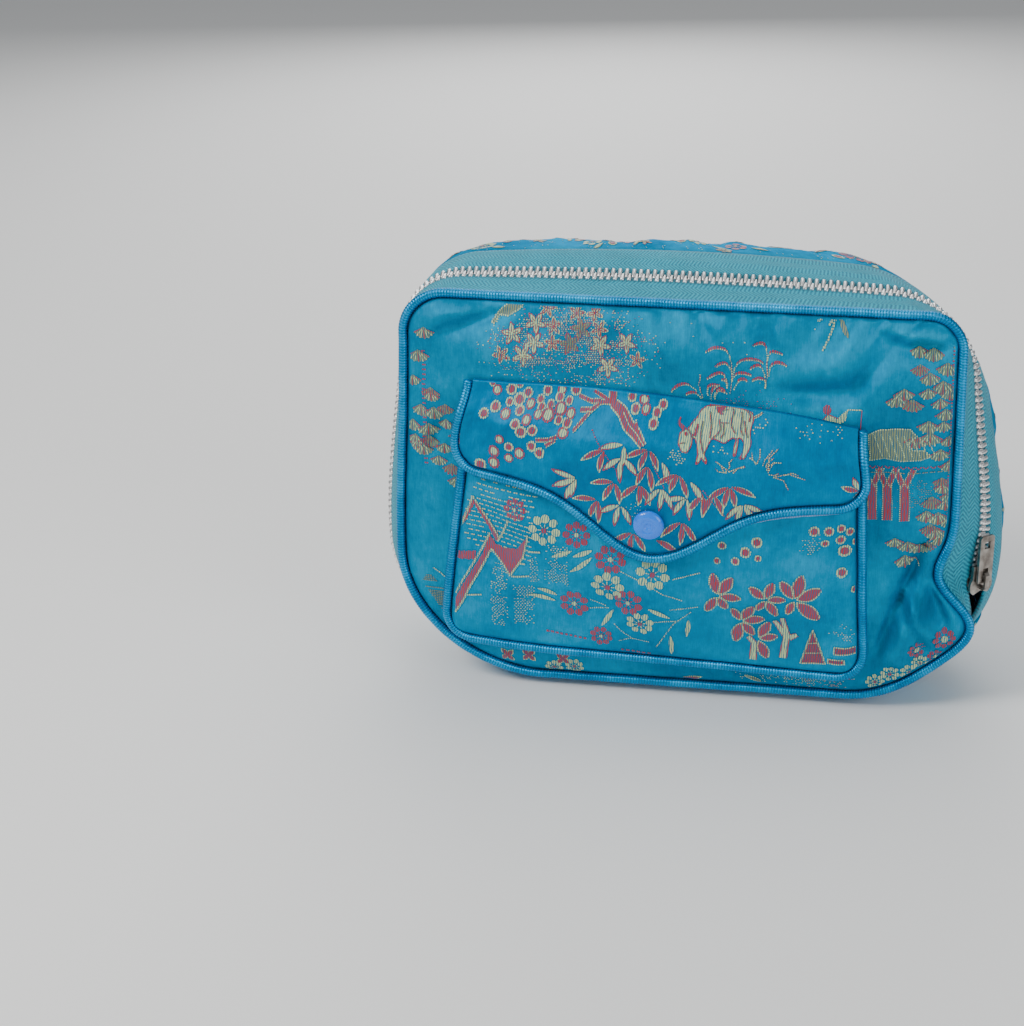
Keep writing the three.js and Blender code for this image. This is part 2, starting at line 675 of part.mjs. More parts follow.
// The pull tab: a plate hung on the bridge by its slot, with a square hole near its free end
function pullTab(frame) {
  const bar = tabThickness;
  const end = tabLength;
  const cut = 0.8;
  const outline = new THREE.Shape();
  outline.moveTo(-tabWidth / 2, -bar / 2);
  outline.lineTo(tabWidth / 2, -bar / 2);
  outline.lineTo(tabWidth / 2, end - cut);
  outline.lineTo(tabWidth / 2 - cut, end);
  outline.lineTo(cut - tabWidth / 2, end);
  outline.lineTo(-tabWidth / 2, end - cut);
  outline.closePath();
  const slotHalf = bridgeWidth / 2 + clearance;
  const slot = new THREE.Path();
  slot.moveTo(-slotHalf, bar / 2);
  slot.lineTo(-slotHalf, tabSlotLength);
  slot.lineTo(slotHalf, tabSlotLength);
  slot.lineTo(slotHalf, bar / 2);
  slot.closePath();
  const holeTop = end - tabHoleInset;
  const hole = new THREE.Path();
  hole.moveTo(-tabHoleSize / 2, holeTop - tabHoleSize);
  hole.lineTo(-tabHoleSize / 2, holeTop);
  hole.lineTo(tabHoleSize / 2, holeTop);
  hole.lineTo(tabHoleSize / 2, holeTop - tabHoleSize);
  hole.closePath();
  outline.holes.push(slot, hole);
  const lean = new THREE.Matrix4().makeRotationX(-tabLean);
  const lift = new THREE.Matrix4().makeTranslation(0, 0, hingeHeight);
  const place = frame.clone().multiply(lift).multiply(lean);
  return meshOf("pull_tab", plate(outline, -bar / 2, bar / 2), pullMetal, place);
}

// How far the pocket's rounded lower corners cut in at a distance above its bottom
function cornerCut(above, radius) {
  const turned = THREE.MathUtils.clamp(radius - above, 0, radius);
  return radius - Math.sqrt(radius ** 2 - turned ** 2);
}

function pocketPanel() {
  const columns = 16;
  const falls = [0, 0.2, 0.4, 0.6, 0.78, 0.9, 0.96, 0.985, 1];
  const radius = pocketCornerRadius;
  const height = pocketDropRight - pocketMouth;
  const face = (offset) =>
    falls.map((fall) => {
      const cut = cornerCut((1 - fall) * height, radius) / pocketBottomWidth;
      return Array.from({ length: columns + 1 }, (_, j) => {
        const across = 0.5 - (0.5 - cut) * Math.cos((Math.PI * j) / columns);
        const { along, down } = pocketSpot(across, fall, flapBodyInset);
        return onPocket(along, down, pocketStand(along, down) - offset);
      });
    });
  return clothWall("pocket_panel", face(0), face(pocketWall), satin);
}

// The pocket's piping, from the mouth down the left side, along the bottom and up the right side
function pocketPiping() {
  const radius = pocketCornerRadius + pipingReach;
  const height = pocketDropRight - pocketMouth;
  const [acrossCorner, fallCorner] = [radius / pocketBottomWidth, radius / height];
  const plan = [];
  const straight = 6;
  const bend = 6;
  const arc = (i) => (Math.PI / 2) * (i / bend);
  for (let i = 0; i < straight; i += 1) plan.push([0, ((1 - fallCorner) * i) / straight]);
  for (let i = 0; i <= bend; i += 1) {
    plan.push([acrossCorner * (1 - Math.cos(arc(i))), 1 - fallCorner * (1 - Math.sin(arc(i)))]);
  }
  for (let i = 1; i < 12; i += 1) plan.push([THREE.MathUtils.lerp(acrossCorner, 1 - acrossCorner, i / 12), 1]);
  for (let i = 0; i <= bend; i += 1) {
    plan.push([1 - acrossCorner * (1 - Math.sin(arc(i))), 1 - fallCorner * (1 - Math.cos(arc(i)))]);
  }
  for (let i = 1; i <= straight; i += 1) plan.push([1, (1 - fallCorner) * (1 - i / straight)]);
  const line = plan.map(([across, fall]) => {
    const { along, down } = pocketSpot(across, fall, pipingRadius);
    return onPocket(along, down, pipingReach);
  });
  return linePiping("pocket_piping", line);
}

// The flap is narrower where it is sewn down, and widens over its shoulders
function flapAlong(along, down) {
  const narrowing = (flapTopInset * (1 - smooth(flapTop(along), flapShoulder, down))) / (flapWidth / 2);
  return along + (flapWidth / 2 - along) * narrowing;
}

// Places across the flap, closest in its rounded corners
function flapColumns() {
  const near = [0, 0.06, 0.3, 0.65, 1].map((share) => flapBodyInset + flapCornerRadius * share);
  const inner = 15;
  const from = flapBodyInset + flapCornerRadius;
  const to = flapWidth - from;
  const middle = Array.from({ length: inner - 1 }, (_, i) => THREE.MathUtils.lerp(from, to, (i + 1) / inner));
  return [...near, ...middle, ...near.map((along) => flapWidth - along).reverse()];
}

function flapPanel() {
  const downs = [0, 0.12, 0.28, 0.5, 0.75, 1];
  const face = (offset) =>
    downs.map((share) =>
      flapColumns().map((along) => {
        const down = THREE.MathUtils.lerp(flapTop(along), flapEdge(along), share);
        return onPocket(flapAlong(along, down), down, flapStand(along, down) - offset);
      }),
    );
  return clothWall("flap", face(0), face(flapWall), satin);
}

// The flap's piping, down its left side, along its curved edge and up its right side
function flapPiping() {
  const columns = flapColumns();
  const edge = [];
  const sideLength = flapEdge(flapBodyInset);
  for (let i = 0; i < 4; i += 1) edge.push([flapBodyInset, (sideLength * i) / 4]);
  columns.forEach((along) => edge.push([along, flapEdge(along)]));
  for (let i = 3; i >= 0; i -= 1) edge.push([flapWidth - flapBodyInset, (sideLength * i) / 4]);
  const line = edge.map(([along, down], i) => {
    const before = edge[Math.max(0, i - 1)];
    const after = edge[Math.min(edge.length - 1, i + 1)];
    const run = Math.hypot(after[0] - before[0], after[1] - before[1]);
    const out = [(before[1] - after[1]) / run, (after[0] - before[0]) / run];
    const a = along + out[0] * pipingReach;
    const d = Math.max(0, down + out[1] * pipingReach);
    return onPocket(flapAlong(a, d), d, Math.max(pipingReach, flapStand(along, down) - flapWall / 2));
  });
  return linePiping("flap_piping", line);
}

// The snap's cap, a shallow plastic dome with a dimple, seated on the flap
function snapCap() {
  const stand = (along, down) => onPocket(along, down, flapStand(along, down));
  const step = snapRadius * 0.7;
  const across = stand(snapAlong + step, snapDown).sub(stand(snapAlong - step, snapDown)).normalize();
  const down = stand(snapAlong, snapDown + step).sub(stand(snapAlong, snapDown - step)).normalize();
  const out = new THREE.Vector3().crossVectors(across, down).normalize();
  if (out.y > 0) out.negate();
  const profile = [
    [0, 0],
    [0.9, 0],
    [1, 0.25],
    [0.97, 0.55],
    [0.8, 0.88],
    [0.55, 1],
    [0.25, 0.96],
    [0.16, 0.78],
    [0, 0.76],
  ].map(([r, h]) => new THREE.Vector2(r * snapRadius, h * snapHeight));
  const lathe = new THREE.LatheGeometry(profile, 16).deleteAttribute("uv").deleteAttribute("normal");
  const mesh = new THREE.Mesh(mergeVertices(lathe, 1e-3), capPlastic);
  mesh.name = "snap_cap";
  mesh.quaternion.setFromUnitVectors(new THREE.Vector3(0, 1, 0), out);
  mesh.position.copy(stand(snapAlong, snapDown)).addScaledVector(out, clearance + facetSlack / 2);
  return mesh;
}

const purse = new THREE.Group();
const fixed = (y) => () => y;
const nearSeam = fixed(frontSeamY + pipingReach);
const farSeam = fixed(backSeamY - pipingReach);
const chainNear = (place) => zipY - tapeMargin(place);
const chainFar = (place) => zipY + tapeMargin(place);
const tapeEnd = fixed(rearTapeEnd);
const bandStart = fixed(rearTapeEnd + clearance);
const [from, to] = [zipRightPlace, zipLeftPlace];
const stripGap = ringLegs * stripShare;
const [baseFrom, baseTo] = [zipLeftPlace - ringLegs + stripGap, zipRightPlace - stripGap];

purse.add(panelWallMesh("front_panel", frontRings, frontSeamY, frontFace, 1, satin));
purse.add(panelWallMesh("back_panel", backRings, backSeamY, backFace, -1, satin));
purse.add(seamPiping("front_piping", frontSeamY));
purse.add(seamPiping("back_piping", backSeamY));
purse.add(gussetStrip("zip_tape_front", from, to, nearSeam, chainNear, 2, tapeWall, tapeWeave));
purse.add(gussetStrip("zip_tape_rear", from, to, chainFar, tapeEnd, 2, tapeWall, tapeWeave));
purse.add(gussetStrip("rear_band", from, to, bandStart, farSeam, 4, gussetWall, satin));
purse.add(gussetStrip("base_gusset", baseFrom, baseTo, nearSeam, farSeam, 8, gussetWall, satin));
purse.add(zipChain());

const zipAt = zipFrame(sliderPlace, 0, (1.5 * sliderLength) / rightSideLength);
const zipNormal = zipAt.across.clone().cross(zipAt.along);
const zipMatrix = new THREE.Matrix4().makeBasis(zipAt.across, zipAt.along, zipNormal);
zipMatrix.setPosition(zipAt.centre);
purse.add(slider(zipMatrix), pullTab(zipMatrix));
purse.add(pocketPanel(), pocketPiping(), flapPanel(), flapPiping(), snapCap());

export default purse;
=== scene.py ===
"""Looks of a turquoise silk brocade zip purse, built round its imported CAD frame.

Geometry is worked out in millimetres in the row frame (+Z up, the front panel facing -Y) and written to the
meshes in metres.
"""

import logging
import math
from dataclasses import dataclass, field, fields
from enum import Enum
from typing import Callable, Sequence

import bmesh
import bpy
import numpy as np
from mathutils import Matrix, Vector


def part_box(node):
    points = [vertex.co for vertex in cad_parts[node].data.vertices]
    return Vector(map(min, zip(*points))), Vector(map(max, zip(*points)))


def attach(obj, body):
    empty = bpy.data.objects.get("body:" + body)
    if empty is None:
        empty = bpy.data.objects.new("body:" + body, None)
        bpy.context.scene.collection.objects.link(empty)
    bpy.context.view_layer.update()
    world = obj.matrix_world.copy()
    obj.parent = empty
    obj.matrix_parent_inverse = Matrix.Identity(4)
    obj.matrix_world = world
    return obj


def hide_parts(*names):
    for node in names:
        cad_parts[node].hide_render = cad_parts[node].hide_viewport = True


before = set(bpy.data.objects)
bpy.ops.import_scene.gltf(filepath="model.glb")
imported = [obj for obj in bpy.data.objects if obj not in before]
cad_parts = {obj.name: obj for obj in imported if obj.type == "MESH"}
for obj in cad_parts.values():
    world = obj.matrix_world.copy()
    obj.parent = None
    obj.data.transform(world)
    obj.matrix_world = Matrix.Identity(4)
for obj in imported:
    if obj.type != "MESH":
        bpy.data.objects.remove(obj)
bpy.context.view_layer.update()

LOG = logging.getLogger("purse")
MM = 0.001

Array = np.ndarray
Pair = tuple[Array, Array]
Edge = tuple[Array, Array, Array]
Quad = tuple[Array, Array, Array, Array]
Spot = Sequence[float]
Line = Sequence[Sequence[float]]
Colour = tuple[float, float, float]
Piece = bpy.types.Object
Material = bpy.types.Material
Node = bpy.types.Node
Socket = bpy.types.NodeSocket


# Small numeric helpers


def smooth(low: float, high: float, value: Array) -> Array:
    """Eases from 0 at low to 1 at high.

    Args:
        low: value that gives 0.
        high: value that gives 1.
        value: numbers to ease.

    Returns:
        The eased shares.
    """
    t = np.clip((np.asarray(value, float) - low) / (high - low), 0, 1)
    return t * t * (3 - 2 * t)


def bell(value: Array) -> Array:
    """Gives the bell curve exp(-value squared)."""
    return np.exp(-np.square(value))


def mix(a: Array, b: Array, share: Array) -> Array:
    """Blends from a to b by a share."""
    return a + (np.asarray(b) - a) * share


def ripple(u: Array, v: Array, seed: int, waves: int = 7, spread: float = 0.6) -> Array:
    """A smooth, repeatable unevenness made of sine waves in several directions.

    Args:
        u: first coordinate, one wave is about 1 unit long.
        v: second coordinate.
        seed: picks the pattern.
        waves: how many sine waves are summed.
        spread: how much the wave lengths differ.

    Returns:
        Heights of about -1 to 1.
    """
    rng = np.random.default_rng(seed)
    total = np.zeros(np.broadcast(u, v).shape)
    for _ in range(waves):
        angle, phase = rng.uniform(0, math.tau, 2)
        rate = math.tau * (1 + spread * rng.uniform(-1, 1))
        total += np.sin(rate * (u * math.cos(angle) + v * math.sin(angle)) + phase)
    return total / math.sqrt(waves)


def unit(vectors: Array) -> Array:
    """Vectors drawn to the length 1."""
    return vectors / np.linalg.norm(vectors, axis=-1, keepdims=True)


def crowded(count: int, pull: float) -> Array:
    """Shares of 0 to 1 that lie closer together at both ends."""
    share = np.linspace(0, 1, count)
    return share - pull * np.sin(math.tau * share)


def run_along(line: Array) -> Array:
    """Distance along a line at each of its points."""
    return np.concatenate([[0], np.cumsum(np.linalg.norm(np.diff(line, axis=0), axis=1))])


def run_flat(x: Array, z: Array) -> Array:
    """Distance along a flat line at each of its points."""
    return np.concatenate([[0], np.cumsum(np.hypot(np.diff(x), np.diff(z)))])


def gathers(run: Array, inside: Array, seed: int, wave: float = 8, reach: float = 6, length: float = 40) -> Array:
    """Small gathers of cloth along a seam, which fade out on the seam itself.

    Args:
        run: distances along the seam.
        inside: distances from it.
        seed: picks the pattern.
        wave: width of one gather.
        reach: how far from the seam they fade.
        length: how long they stay straight.

    Returns:
        Heights of about -1 to 1.
    """
    return ripple(run / wave, inside / length, seed) * np.exp(-inside / reach) * smooth(0, 1.2, inside)


def linear(red: float, green: float, blue: float) -> tuple[float, float, float, float]:
    """Turns a display colour of 0 to 255 into the linear colour that shaders use.

    Args:
        red: 0 to 255.
        green: 0 to 255.
        blue: 0 to 255.

    Returns:
        Red, green, blue and an alpha of 1.
    """
    parts = [c / 255 for c in (red, green, blue)]
    parts = [c / 12.92 if c <= 0.04045 else ((c + 0.055) / 1.055) ** 2.4 for c in parts]
    return (*parts, 1.0)


# The purse's form, from the same named sizes as the solids


@dataclass(frozen=True)
class Corners:
    """Corner radii of a seam's rounded rectangle, in millimetres."""

    bottom_right: float
    top_right: float
    top_left: float
    bottom_left: float


@dataclass(frozen=True)
class Swell:
    """A place where the front seam swells or pinches. Shares as in the solids."""

    side: int
    height: float
    spread: float
    out: float
    deep: float


@dataclass(frozen=True)
class Fold:
    """A fold of the front panel: centre, half sizes, turn in degrees and how far it stands proud."""

    x: float
    z: float
    length: float
    width: float
    turn: float
    rise: float


@dataclass
class PurseForm:
    """Sizes and surfaces shared by all pieces, in millimetres."""

    panel_width: float = 191
    panel_height: float = 143.4
    seam_depth: float = 58
    seam_lift: float = 4.4
    back_seam_drop: float = 2
    front_crown: float = 9
    back_crown: float = 5
    top_bulge: float = 11.5
    top_bulge_skew: float = 1.25
    top_bulge_fall: float = 0.5
    side_bulge: float = 16
    base_sag: float = 7
    piping_radius: float = 1.6
    clearance: float = 0.3
    tape_shown: float = 8
    rear_tape_shown: float = 11
    chain_width: float = 5.8
    zip_end_right: float = 1.8
    zip_end_left: float = 7.2
    slider_height: float = 47.5
    slider_length: float = 11
    front_corners: Corners = Corners(37, 12, 15, 46)
    rear_corners: Corners = Corners(42, 72, 30, 46)
    swells: tuple[Swell, ...] = (
        Swell(1, 0.33, 0.085, -0.07, 0.36),
        Swell(1, 0.2, 0.11, 0.09, 0.16),
        Swell(-1, 0.3, 0.4, 0.055, 0.4),
    )
    folds: tuple[Fold, ...] = (
        Fold(-0.83, 0.8, 0.2, 0.09, 36, -0.26),
        Fold(-0.72, 0.58, 0.22, 0.11, 20, 0.16),
        Fold(0.46, 0.64, 0.22, 0.1, -12, -0.34),
        Fold(0.72, 0.62, 0.2, 0.08, 48, 0.24),
        Fold(0.78, 0.8, 0.2, 0.08, 18, -0.3),
        Fold(0.79, -0.4, 0.3, 0.07, 72, -0.38),
        Fold(0.86, -0.55, 0.22, 0.06, 104, 0.3),
        Fold(0.93, -0.42, 0.2, 0.05, 112, -0.3),
        Fold(0.12, -0.9, 0.5, 0.08, -3, -0.16),
    )

    def __post_init__(self) -> None:
        """Works out the values that follow from the sizes."""
        self.half_width = self.panel_width / 2
        self.bottom = self.seam_lift
        self.top = self.seam_lift + self.panel_height
        self.middle_z = self.seam_lift + self.panel_height / 2
        self.front_y = -self.seam_depth / 2
        self.back_y = self.seam_depth / 2
        self.piping_reach = self.piping_radius + self.clearance
        start = self.front_y + self.piping_reach + self.tape_shown
        self.zip_y = start + self.clearance + self.chain_width / 2
        self.chain_margin = self.chain_width / 2 + self.clearance
        self.rear_tape_end = self.zip_y + self.chain_margin + self.rear_tape_shown
        corners = self.front_corners
        self.right_side = self.panel_height - corners.bottom_right - corners.top_right
        rise = self.slider_height - self.bottom - corners.bottom_right
        self.slider_place = 2 + rise / self.right_side
        self.front_edge = self._edge_table(self.front_y)
        self.back_edge = self._edge_table(self.back_y)

    def outline(self, corners: Corners, place: Array) -> Quad:
        """Points round a seam's rounded rectangle.

        Args:
            corners: the seam's corner radii.
            place: 0 to 8 round the seam, anticlockwise from the bottom's left end.

        Returns:
            x, z and the outward direction's x and z.
        """
        place = np.mod(np.asarray(place, float), 8)
        leg = np.floor(place).astype(int)
        share = place - leg
        w, b, t = self.half_width, self.bottom, self.top
        br, tr, tl, bl = corners.bottom_right, corners.top_right, corners.top_left, corners.bottom_left
        starts = {0: (bl - w, b), 2: (w, b + br), 4: (w - tr, t), 6: (-w, t - tl)}
        ends = {0: (w - br, b), 2: (w, t - tr), 4: (tl - w, t), 6: (-w, b + bl)}
        centres = {1: (w - br, b + br, br), 3: (w - tr, t - tr, tr), 5: (tl - w, t - tl, tl), 7: (bl - w, b + bl, bl)}
        x, z, nx, nz = (np.zeros_like(share) for _ in range(4))
        normals = {0: (0, -1), 2: (1, 0), 4: (0, 1), 6: (-1, 0)}
        for k in range(8):
            on = leg == k
            if k % 2 == 0:
                x[on] = mix(starts[k][0], ends[k][0], share[on])
                z[on] = mix(starts[k][1], ends[k][1], share[on])
                nx[on], nz[on] = normals[k]
            else:
                cx, cz, radius = centres[k]
                angle = ((k - 3) / 2 + share[on]) * math.pi / 2
                nx[on], nz[on] = np.cos(angle), np.sin(angle)
                x[on], z[on] = cx + radius * nx[on], cz + radius * nz[on]
        return x, z, nx, nz

    def ring(self, place: Array, y: Array) -> Quad:
        """A point of the ring that joins the two seams, at a depth y, and its outward direction.

        Args:
            place: places round the ring, 0 to 8.
            y: depths.

        Returns:
            x and z of the point, then x and z of the direction.
        """
        share = (np.asarray(y, float) - self.front_y) / self.seam_depth
        fx, fz, fnx, fnz = self.outline(self.front_corners, place)
        rx, rz, rnx, rnz = self.outline(self.rear_corners, place)
        rz = rz - self.back_seam_drop * np.maximum(0, (rz - self.middle_z) / (self.panel_height / 2))
        x, z = mix(fx, rx, share), mix(fz, rz, share)
        nx, nz = mix(fnx, rnx, share), mix(fnz, rnz, share)
        length = np.hypot(nx, nz)
        push = np.zeros_like(x)
        for row in self.swells:
            away = (z - self.bottom - row.height * self.panel_height) / (row.spread * self.panel_height)
            fade = 1 - smooth(0, row.deep, share)
            push += np.where(row.side * x > 0, row.side * row.out * self.half_width * bell(away) * fade, 0)
        return x + push * np.abs(fnx), z, nx / length, nz / length

    def gusset(self, place: Array, y: Array, lift: Array = 0.0) -> Array:
        """Points of the gusset, lift millimetres outside its outer face.

        Args:
            place: places round the ring, 0 to 8.
            y: depths.
            lift: height over the outer face.

        Returns:
            The points.
        """
        place, y, lift = np.broadcast_arrays(np.asarray(place, float), np.asarray(y, float), lift)
        x, z, nx, nz = self.ring(place, y)
        share = np.clip((y - self.front_y) / self.seam_depth, 0, 1)
        height = (z - self.bottom) / self.panel_height
        arch = np.sin(math.pi * share)
        fullness = 0.6 + 0.4 * smooth(0, 0.35, height) - 0.7 * smooth(0.35, 1, height)
        crest = self.top_bulge * (1 - self.top_bulge_fall * (x / self.half_width) ** 2)
        crest = crest * np.sin(math.pi * share**self.top_bulge_skew)
        out = nx**2 * self.side_bulge * fullness * arch + nz**2 * np.where(nz > 0, crest, self.base_sag * arch)
        out = out + lift
        return np.stack([x + nx * out, y, np.maximum(z + nz * out, np.maximum(-lift, 0))], -1)

    def gusset_normal(self, place: Array, y: Array) -> Array:
        """The gusset's outward direction.

        Args:
            place: places round the ring, 0 to 8.
            y: depths.

        Returns:
            Unit directions.
        """
        along = self.gusset(place + 0.004, y) - self.gusset(place - 0.004, y)
        across = self.gusset(place, np.asarray(y) + 0.3) - self.gusset(place, np.asarray(y) - 0.3)
        return unit(np.cross(across, along))

    def _edge_table(self, y: float) -> Edge:
        """Angle, reach and run round the seam of the inset panel edge, seen from the panel's middle.

        Args:
            y: the seam's depth.

        Returns:
            Angles, reaches and runs in order of the angle.
        """
        place = np.linspace(0, 8, 1600, endpoint=False)
        x, z, nx, nz = self.ring(place, np.full_like(place, y))
        x, z = x - nx * self.piping_reach, z - nz * self.piping_reach
        run = run_flat(x, z)
        angle = np.arctan2(z - self.middle_z, x)
        order = np.argsort(angle)
        return angle[order], np.hypot(x, z - self.middle_z)[order], run[order]

    def inside(self, edge: Edge, x: Array, z: Array) -> Array:
        """How far inside a panel's edge a place is, negative outside."""
        angle = np.arctan2(z - self.middle_z, x)
        return np.interp(angle, edge[0], edge[1], period=math.tau) - np.hypot(x, z - self.middle_z)

    def clip(self, edge: Edge, x: Array, z: Array) -> Pair:
        """Moves places towards the panel's middle until they lie inside its edge.

        Args:
            edge: the edge's table.
            x: places across.
            z: heights.

        Returns:
            x and z, 1.1 mm or more inside the edge.
        """
        distance = np.hypot(x, z - self.middle_z)
        keep = np.minimum(1, (distance + np.minimum(0, self.inside(edge, x, z) - 1.1)) / np.maximum(distance, 1e-6))
        return x * keep, self.middle_z + (z - self.middle_z) * keep

    def share(self, edge: Edge, x: Array, z: Array) -> Edge:
        """How far out a panel point lies.

        Args:
            edge: the panel's edge table.
            x: place across.
            z: height.

        Returns:
            Share from 0 in the middle to 1 at the edge, distance to the edge, and the run round the edge.
        """
        angle = np.arctan2(z - self.middle_z, x)
        reach = np.interp(angle, edge[0], edge[1], period=math.tau)
        distance = np.hypot(x, z - self.middle_z)
        return np.minimum(1, distance / reach), np.maximum(0, reach - distance), np.interp(angle, edge[0], edge[2])

    def front_face(self, x: Array, z: Array) -> Array:
        """Depth of the front panel's outer face.

        Args:
            x: places across.
            z: heights.

        Returns:
            y of the face.
        """
        share, _, _ = self.share(self.front_edge, x, z)
        low = smooth(0, 1, (self.middle_z + self.panel_height * 0.3 - z) / (self.panel_height * 0.8))
        crown = self.front_crown * (1 - share ** (2.4 + 1.2 * low))
        folds = sum(self._fold_rise(row, x, z) for row in self.folds)
        return self.front_y - 1 - crown - folds * (1 - share**8)

    def _fold_rise(self, row: Fold, x: Array, z: Array) -> Array:
        """How far one fold lifts the front panel.

        Args:
            row: the fold.
            x: places across.
            z: heights.

        Returns:
            The rise at each place.
        """
        turn = math.radians(row.turn)
        dx = x - row.x * self.half_width
        dz = z - self.middle_z - row.z * self.panel_height / 2
        along = dx * math.cos(turn) + dz * math.sin(turn)
        across = dz * math.cos(turn) - dx * math.sin(turn)
        size = self.half_width
        return row.rise * self.front_crown * bell(along / (row.length * size)) * bell(across / (row.width * size))

    def back_face(self, x: Array, z: Array) -> Array:
        """Depth of the back panel's outer face."""
        share, _, _ = self.share(self.back_edge, x, z)
        return self.back_y + 1 + self.back_crown * (1 - share**2.6)


@dataclass
class PocketForm:
    """Sizes and surfaces of the front pocket and its flap, in millimetres along and down from the flap's corner."""

    form: PurseForm
    turn: float = math.radians(4.4)
    left: float = -76.3
    top: float = 120.3
    crown: float = 5.5
    mouth: float = 12
    drop_left: float = 102.6
    drop_right: float = 96.6
    corner_radius: float = 9
    inset_top: float = 4.6
    inset_bottom: float = -3
    width_top: float = 137
    width_bottom: float = 155.5
    pocket_wall: float = 1.6
    flap_wall: float = 1.8
    flap_width: float = 145.5
    flap_drop_left: float = 33.5
    flap_drop_right: float = 28.5
    tip_drop: float = 53.5
    tip_place: float = 73.5
    tip_spread: float = 26
    flap_corner: float = 7
    top_inset: float = 3.4
    top_arch: float = 3.4
    shoulder: float = 22
    facet_slack: float = 0.4

    def __post_init__(self) -> None:
        """Works out the values that follow from the sizes."""
        radius, gap = self.form.piping_radius, self.form.clearance
        self.edge_stand = gap + radius + self.pocket_wall / 2
        self.body_inset = 2 * radius + gap
        self.flap_lift = 3 * gap + 3 * radius + self.flap_wall / 2 - self.edge_stand

    def to_panel(self, along: Array, down: Array) -> Pair:
        """Turns places in the pocket's plan into the panel's x and z."""
        cos, sin = math.cos(self.turn), math.sin(self.turn)
        return self.left + along * cos - down * sin, self.top - along * sin - down * cos

    def outside(self, x: Array, z: Array) -> Array:
        """How far a place of the panel lies outside the pocket and its flap.

        Args:
            x: places across.
            z: heights.

        Returns:
            The distances, below 0 inside.
        """
        cos, sin = math.cos(self.turn), math.sin(self.turn)
        dx, dz = x - self.left, z - self.top
        along, down = dx * cos - dz * sin, -dx * sin - dz * cos
        left, width = self.sides(down, 0)
        low = self.bottom(np.clip((along - left) / width, 0, 1), 0)
        gaps = [np.minimum(left, 0) - along, along - np.maximum(left + width, self.flap_width), down - low]
        return np.maximum.reduce([*gaps, self.flap_top(along) - down])

    def sides(self, down: Array, inset: float) -> Pair:
        """The pocket's left edge and width at a place down it, inside its piping by an inset.

        Args:
            down: places down from the flap's corner.
            inset: the inset from the pocket's edge.

        Returns:
            The left edges and the widths.
        """
        share = down / self.drop_left
        left = mix(self.inset_top, self.inset_bottom, share) + inset
        return left, mix(self.width_top, self.width_bottom, share) - 2 * inset

    def bottom(self, across: Array, inset: float) -> Array:
        """How far down the pocket's bottom is at a share of its width."""
        return mix(self.drop_left, self.drop_right, across) - inset

    def pocket_stand(self, along: Array, down: Array) -> Array:
        """How far the pocket's outer face stands off the front panel.

        Args:
            along: places along from the flap's corner.
            down: places down from the flap's corner.

        Returns:
            The distances.
        """
        left, width = self.sides(down, self.body_inset)
        across = np.clip((along - left) / width, 0, 1)
        bottom = self.bottom(across, self.body_inset)
        fall = np.clip((down - self.mouth) / (bottom - self.mouth), 0, 1)
        return self.edge_stand + self.crown * (1 - np.abs(2 * across - 1) ** 3) * (1 - fall**3)

    def flap_top(self, along: Array) -> Array:
        """The flap's sewn top edge, which rises in its middle."""
        return -self.top_arch * (1 - (2 * along / self.flap_width - 1) ** 2)

    def flap_edge(self, along: Array) -> Array:
        """How far down the flap's cloth reaches.

        Args:
            along: places along from the flap's corner.

        Returns:
            How far down it ends.
        """
        side = mix(self.flap_drop_left, self.flap_drop_right, along / self.flap_width)
        middle = mix(self.flap_drop_left, self.flap_drop_right, self.tip_place / self.flap_width)
        tip = (self.tip_drop - middle) * bell((along - self.tip_place) / self.tip_spread)
        inner = np.minimum(along, self.flap_width - along) - self.body_inset
        turned = np.clip(self.flap_corner - inner, 0, self.flap_corner)
        corner = self.flap_corner - np.sqrt(self.flap_corner**2 - turned**2)
        return side + tip - corner - self.body_inset

    def flap_stand(self, along: Array, down: Array) -> Array:
        """How far the flap's outer face stands off the front panel.

        Args:
            along: places along from the flap's corner.
            down: places down from the flap's corner.

        Returns:
            The distances.
        """
        sewn = self.form.clearance + self.flap_wall
        over = self.pocket_stand(along, down) + self.flap_lift
        top = self.flap_top(along)
        return mix(sewn, over, smooth(0, 1, (down - top) / (self.mouth - top)))

    def flap_along(self, along: Array, down: Array) -> Array:
        """Draws the flap's sides in towards its sewn edge.

        Args:
            along: places along from the flap's corner.
            down: places down from the flap's corner.

        Returns:
            The places along, drawn in.
        """
        top = self.flap_top(along)
        narrow = self.top_inset * (1 - smooth(0, 1, (down - top) / (self.shoulder - top))) / (self.flap_width / 2)
        return along + (self.flap_width / 2 - along) * narrow

    def place(self, along: Array, down: Array, stand: Array) -> Array:
        """A point that stands off the front panel at a place in the pocket's plan.

        Args:
            along: places along from the flap's corner.
            down: places down from the flap's corner.
            stand: distances off the panel.

        Returns:
            The points.
        """
        x, z = self.to_panel(along, down)
        y = self.form.front_face(x, z) - self.facet_slack - stand
        return np.stack([x, y, z], -1)


# Meshes


